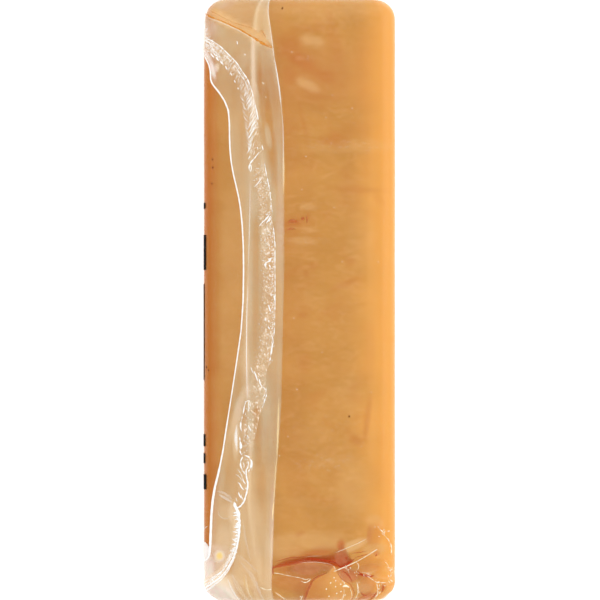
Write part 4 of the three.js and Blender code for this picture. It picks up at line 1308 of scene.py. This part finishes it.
# Soft rays of gathered film at the near left corner, and the rounded tab beside the cut edge
CORNER_RAYS = [
    stroke([(227.6, 577), (231.6, 587), (234.6, 602)], 0.22, 0.2, 0.85, 0.04, 0.4),
    stroke([(232, 573), (239, 586), (244, 602)], 0.6, 0.05, 0.85, 0.04, 0.5),
    stroke([(240, 560), (252, 574), (260, 592)], 0.5, 0.05, 0.85, 0.04, 0.5),
    stroke([(240, 554), (250, 563), (260, 573)], 0.2, 0.07, 0.9, 0.04, 0.5),
    stroke([(246, 572), (247, 588), (249, 601)], 0.3, 0.07, 0.9, 0.04, 0.5),
    stroke([(256, 578), (259, 590), (260, 602)], 0.4, 0.05, 0.85, 0.04, 0.5),
    stroke([(243, 518), (246, 540), (251, 560)], 0.3, 0.05, 0.9, 0.04, 0.5),
    stroke([(237, 468), (241, 472), (243, 478)], 0.12, 0.28, 0.9, 0.05, 0.3),
    stroke([(235, 473), (240, 476), (243, 481)], 0.12, 0.22, 0.9, 0.05, 0.3),
    stroke([(218.6, 509), (219, 514), (223, 517.6), (228, 517.4), (232, 514)], 0.16, 0.07, 0.85, 0.05, 0.3),
    stroke([(203.6, 530), (206, 527.4), (208.6, 525)], 0.1, 0.3, 0.3, 0.05, 0.3),
]
ridges("corner_rays", CORNER_RAYS, white_film_and_glints)
TAB = stroke([(205.4, 540.8), (205.4, 546), (205.4, 553), (205.4, 559.8)], 2.6, 0.8, 0.5, 0.06, 0.5)
ridges("edge_tab", [TAB], glossy("tab_film", tone(244, 236, 230), 0.25, 0.15))

# The rims of the slit, amber lines of painted shade where its lip shades the curd, and the pale lip below
# them, which is milky film and a painted highlight
SLIT_RIM_SHADES = [
    stroke([(x, y - 0.5) for x, y in SLIT_LOWER[1:]], [0.2, 0.16, 0.12, 0.15, 0.22, 0.3, 0.2], 0.7, 1.0,
        0.04, 0.1, rounds=3, wobble=0.5),
    stroke([(x, y + 0.3) for x, y in SLIT_UPPER[1:6]], 0.07, 0.25, 1.0, 0.04, 0.2, rounds=3),
    stroke([(263.4, 44.8), (265.6, 45.8)], 0.26, 1.0, 1.1, 0.1, 0.4),
    stroke([(259.4, 33.4), (261.6, 31.2), (263.4, 34), (266.4, 38.8)], 0.09, 0.45, 1.1, 0.1, 0.2),
]
ridges("slit_rim_shades", SLIT_RIM_SHADES, glossy("amber_rim_shade", tone(216, 138, 52), 0.4, 0.05))
SLIT_LIP = stroke([(x, y + 1.3) for x, y in SLIT_LOWER[1:6]], 0.14, 0.14, 0.9, 0.05, 0.5, rounds=3)
ridges("slit_lip", [SLIT_LIP], white_film_and_glints)

# The folds of the near end: film that was gathered over the torn end of the bar, in fine folds that catch
# the light, their glints painted cream and white. Dark seams show where the curd is torn beneath it.

# Where the bright sparks of the lumps stand, in pixels
LUMP_SPARKS = [
    (335, 584), (337, 589.6), (329.6, 592), (333.4, 576), (341, 588), (343, 595), (338, 596), (332, 598),
    (346, 591), (326, 586), (340, 582), (335, 579), (348, 597), (330, 581), (323, 596),
]
# The folds that the small glints of the crumpled corner lie along, in pixels
GLINT_TRAILS = [
    [(366, 573), (377, 580), (387, 582)], [(388, 562), (390, 572), (387, 582)],
    [(377, 584), (380, 592), (380, 600)], [(357, 580), (359, 590), (359, 600)],
    [(345, 566), (351, 570), (359, 573)], [(379, 526), (384, 534), (388, 546)],
]
GLINTS_A_TRAIL = 9
GLINT_STRAY = 1.3
# The glints are finer and fainter than the folds that carry them
GLINT_FINENESS = 0.62
GLINT_HAZE = 0.72

END_FOLDS = [
    stroke([(333.4, 570.4), (338, 568.6), (344.2, 566), (350, 563.6)], [0.24, 0.26, 0.2, 0.16], 0.95, 1.0,
        taper=0.08, wobble=0.4),
    stroke([(343, 566.6), (350, 563.4), (356.8, 560.2), (366.7, 554.6), (377.4, 547.8)], 0.15, 0.9, 1.0,
        taper=0.08, wobble=0.4),
    stroke([(335.8, 551.5), (346.4, 547.2), (358.2, 542), (366.7, 537.7)], 0.14, 0.45, 0.9, taper=0.15),
    stroke([(355.5, 560.6), (357.8, 562.6), (358.8, 565.6), (357, 569)], 0.13, 0.75, 1.0, taper=0.3),
    stroke([(344.8, 563.5), (347, 566.5), (346.5, 569.5)], 0.1, 0.6, 1.0),
    stroke([(273.4, 571.6), (279.5, 572.4), (284, 573.4)], 0.14, 0.85, 0.9, taper=0.2, wobble=0.5),
    stroke([(283, 573.4), (293.9, 575.4), (303, 577.3), (308, 578.6)], 0.12, 0.6, 0.9, taper=0.2,
        wobble=0.5),
    stroke([(300.8, 579.6), (304, 581.3), (308, 580.6), (311, 577.4)], 0.17, 0.9, 1.0, taper=0.2,
        wobble=0.5),
    stroke([(301.6, 577.4), (306, 578.6), (310, 576.8)], 0.12, 0.6, 1.0),
    stroke([(299.8, 561.8), (308, 561), (317, 561), (327, 562.2), (333, 564.2)], 0.12, 0.4, 0.8, taper=0.3),
    stroke([(333, 564.4), (334.5, 566.4), (335.4, 569)], 0.14, 0.7, 0.9),
    stroke([(303, 592.6), (301, 596), (299.6, 602)], 0.2, 0.9, 0.9, taper=0.3, wobble=0.6),
    stroke([(299.6, 594.6), (301.6, 593)], 0.16, 0.8, 0.9),
    stroke([(298.4, 600), (301, 597.4)], 0.13, 0.7, 0.9),
    stroke([(342.4, 585), (345, 583.4), (349.8, 585.4)], [0.1, 0.5, 0.1], 1.2, 1.1, taper=0.1),
    stroke([(343.5, 580.5), (344.6, 582.4)], 0.2, 0.9, 1.1),
    stroke([(342, 579), (343, 580.4)], 0.15, 0.85, 1.1),
    stroke([(344.3, 586.4), (345.4, 592), (346.4, 602)], 0.15, 0.6, 1.0, taper=0.3, wobble=0.5),
    stroke([(350, 586), (353.4, 591), (355.4, 597)], 0.12, 0.45, 1.0, wobble=0.5),
    stroke([(356.4, 580.4), (358, 585), (359.6, 590.6), (359.2, 598)], 0.14, 0.85, 1.0, taper=0.2,
        wobble=0.9),
    stroke([(366.5, 574.4), (372.3, 578.6), (376.4, 581.2), (384.9, 581.4)], 0.14, 0.85, 0.9, taper=0.2,
        wobble=0.7),
    stroke([(376.4, 581.4), (377.6, 586), (380, 590.6), (380.6, 598)], 0.13, 0.8, 0.9, taper=0.2,
        wobble=0.9),
    stroke([(386.6, 568), (389.6, 570.6), (388.6, 575), (387.6, 578), (385.4, 583)], 0.13, 0.8, 0.8,
        taper=0.2, wobble=0.9),
    stroke([(389.4, 579.2), (390.4, 581)], 0.28, 0.95, 0.8),
    stroke([(386.4, 574), (387.4, 576)], 0.18, 0.85, 0.8),
    stroke([(377.2, 524.4), (378.6, 527.4), (381.4, 530.3), (383.6, 533.6)], 0.15, 0.85, 0.9, taper=0.2,
        wobble=0.8),
    stroke([(385.6, 530.4), (388, 530)], 0.17, 0.85, 0.8),
    stroke([(378, 535), (379.4, 536)], 0.14, 0.8, 0.9),
    stroke([(383.4, 534.6), (386, 537.6), (387.8, 541)], 0.14, 0.4, 0.8, taper=0.2, wobble=0.9),
    stroke([(388.6, 542), (389.6, 547), (389.3, 553.6)], 0.24, 1.0, 0.8, taper=0.3, wobble=0.6),
    stroke([(259.4, 585), (263.6, 587), (267.6, 587.6), (272, 587.2)], 0.15, 0.7, 1.0, taper=0.2,
        wobble=0.6),
    stroke([(274, 589.6), (278.6, 592.6), (282.8, 595.8), (285.6, 597)], 0.25, 0.35, 0.8, taper=0.3),
    stroke([(305, 556), (312, 555), (322, 554.8)], 0.1, 0.25, 0.8),
    stroke([(360, 571), (366, 571.8), (372, 572)], 0.11, 0.4, 0.9),
    stroke([(383, 560), (386, 563), (387, 566)], 0.1, 0.5, 0.8),
    *[stroke([(x, y), (x + 1, y + 0.8)], 0.32, 1.2, 1.5, 0.08, 0.5) for x, y in LUMP_SPARKS],
]
for fold in END_FOLDS:
    fold["width"] = np.multiply(fold["width"], GLINT_FINENESS)
    fold["haze"] *= GLINT_HAZE

draw = np.random.default_rng(31)
crinkles = []
for trail in GLINT_TRAILS:
    for share in draw.uniform(0, 2, GLINTS_A_TRAIL):
        on_trail = [np.interp(share, [0, 1, 2], axis) for axis in np.transpose(trail)]
        x, y = (place + draw.normal(0, GLINT_STRAY) for place in on_trail)
        turn, reach, bow = draw.uniform(0, math.pi), draw.uniform(0.4, 1.5), draw.uniform(-0.5, 0.5)
        away = np.array([math.cos(turn), math.sin(turn)]) * reach
        middle = (x - math.sin(turn) * bow, y + math.cos(turn) * bow)
        ends = [tuple(np.array([x, y]) - away), middle, tuple(np.array([x, y]) + away)]
        crinkles.append(stroke(ends, draw.uniform(0.06, 0.12), draw.uniform(0.35, 0.8), 0.9, taper=0.5))

cream_film = glossy("cream_glint", tone(255, 243, 214))
ridges("end_glints", END_FOLDS, cream_film)
ridges("crinkle_glints", crinkles, cream_film)

TORN_SEAMS = [
    stroke([(303, 558.6), (310, 557.8), (320, 558.8), (326, 559.6), (332, 560.6), (337, 562.4)], 0.24, 0.7,
        0.05, 0.05, 0.3),
    stroke([(337, 564), (341, 566), (345, 564.6), (351, 560.6), (354.6, 557.6)], 0.2, 0.75, 0.15, 0.05,
        0.3),
    stroke([(276, 560.6), (284, 558.2), (291, 556.4), (300, 556), (306, 555)], 0.12, 0.35, 0.15, 0.04, 0.3),
    stroke([(345.4, 556.4), (346.6, 557.2)], 0.26, 0.85, 0.7, 0.04, 0.5),
    stroke([(356.8, 573), (363.9, 574.2), (369.5, 575.6), (374, 574)], 0.17, 0.8, 0.6, 0.04, 0.3),
    stroke([(382, 582.8), (383.4, 587), (383.2, 591)], 0.2, 0.35, 0.6, 0.04, 0.3),
    stroke([(375, 553.6), (376.6, 554.6)], 0.34, 0.35, 0.5, 0.04, 0.5),
    stroke([(341.5, 569.5), (346, 572), (350, 576.4), (352, 581)], 0.2, 0.45, 0.6, 0.04, 0.4),
    stroke([(357, 569.6), (360, 572.6), (364, 573.4)], 0.16, 0.5, 0.6, 0.04, 0.4),
    stroke([(362, 590), (366, 593), (371, 594)], 0.16, 0.5, 0.6, 0.04, 0.4),
    stroke(LUMP_LEFT[1:], 0.24, 0.28, 0.3, 0.04, 0.2), stroke(LUMP_RIGHT[1:], 0.16, 0.22, 0.6, 0.04, 0.2),
    stroke([(273.4, 563), (272.8, 569), (273.6, 574)], 0.16, 0.4, 0.5, 0.04, 0.3),
    stroke([(288, 222.6), (292, 221), (298, 221.8)], 0.5, 0.2, 0.12, 0.04, 0.5),
    stroke([(301, 218.2), (304.6, 219.8)], 0.45, 0.28, 0.12, 0.04, 0.5),
    stroke([(306.6, 216), (307, 220), (306.8, 224)], 0.16, 0.3, 0.12, 0.04, 0.4),
    stroke([(287, 230), (290, 228.8), (296, 229.4)], 0.3, 0.18, 0.12, 0.04, 0.5),
    stroke([(351, 552.6), (358, 551.4), (367, 550.4)], 0.12, 0.3, 0.2, 0.04, 0.4),
    stroke([(354, 556.6), (362, 554.6), (368, 552.8)], 0.12, 0.35, 0.2, 0.04, 0.4),
    stroke([(378, 590), (378.6, 595), (377.6, 601)], 0.3, 0.25, 0.5, 0.04, 0.3),
]
ridges("torn_seams", TORN_SEAMS, glossy("torn_curd", tone(178, 60, 22), 0.4, 0.05))

# The print: plain bars of black ink on the outside of the film, where it turns down the left side. The ink
# is laid on flat and crosses the rounded edge with the film.

# Each bar: its far and near ends and its right edge, in pixels
PRINT_BARS = [
    (203, 209, 206), (235, 270, 206.6), (284, 380, 204.8), (434, 446, 206), (453, 463, 205.8),
    (474, 489, 206.8),
]
PRINT_STEPS = (60, 24)
# How far down the side the bars reach, walked from the middle of the face
PRINT_FOOT = -33.0
INK_STAND = 0.27
INK_THICKNESS = 0.12


def print_shape(bar):
    far, near, edge = bar

    def shape(share_loop, share_along):
        share = 1 - np.abs(2 * share_loop - 1)
        start, _ = walked_from(edge, far)
        along = (MIDDLE_Y - near + (near - far) * share_along) * PIXEL
        across = start + (PRINT_FOOT - start) * share
        rim = between(share, (0, 0.02), (0.98, 1)) * between(share_along, (0, 0.02), (0.98, 1))
        lift = np.where(share_loop <= 0.5, INK_STAND, INK_STAND - INK_THICKNESS * rim)
        return on_skin(across, along, lift), {}

    return shape


ink = Finish("black_ink")
worn = ink.span(ink.noise(0.8, detail=4, roughness=0.7), 0.6, 0.75)
ink_tint = ink.mixed(worn * 0.5, tone(12, 10, 9), tone(70, 56, 46))
ink_values = {"Base Color": ink_tint, "Roughness": 0.7 + worn * 0.2, "Specular IOR Level": 0.08}
black_ink = ink.done(ink.add("ShaderNodeBsdfPrincipled", None, ink_values))
for number, bar in enumerate(PRINT_BARS):
    dressed(moved_grid(f"print_bar_{number + 1}", PRINT_STEPS, print_shape(bar)), black_ink, "print")

# The specks: bits of rind, dark from the smoke, and pale dust, which cling to the bar. Each is a short flat
# stroke, laid close on the film.

# Places in pixels, and sizes in millimetres
SPECKS = [
    (282, 10, 0.17), (349, 416, 0.13), (213.4, 160, 0.1), (213.6, 168, 0.12), (210, 370, 0.1),
    (208, 367, 0.13), (213, 184, 0.08),
]
DUST = [
    (306, 157, 0.1), (352, 109, 0.13), (378, 262, 0.1), (297, 389, 0.1), (292, 53, 0.1), (332.4, 96, 0.1),
    (266, 98, 0.12), (279.5, 455, 0.12), (264, 84, 0.1), (342, 262, 0.08), (322, 352, 0.08),
    (361, 446, 0.08), (294, 318, 0.08), (302, 190, 0.07), (326, 118, 0.07), (371, 392, 0.07),
    (288, 436, 0.07), (334, 208, 0.07),
]


def specks(places, half, slope, width, haze, base, taper):
    """A short stroke at each place, half its run to either side, as wide as its own size says."""
    return [
        stroke([(x - half, y - slope), (x + half, y + slope)], width * size, haze, base, 0.05, taper)
        for x, y, size in places
    ]


smoky_film = glossy("smoke_speck", tone(104, 48, 22), 0.5, 0.02)
ridges("dark_specks", specks(SPECKS, 0.8, 0.2, 2.2, 0.95, 0.5, 0.4), smoky_film)
DUST_STREAK = stroke([(262, 83), (264, 85.6)], 0.09, 0.4, 1.0, 0.05, 0.3)
ridges("pale_specks", [*specks(DUST, 0.5, 0.05, 1.4, 0.8, 0.35, 0.5), DUST_STREAK], cream_film)
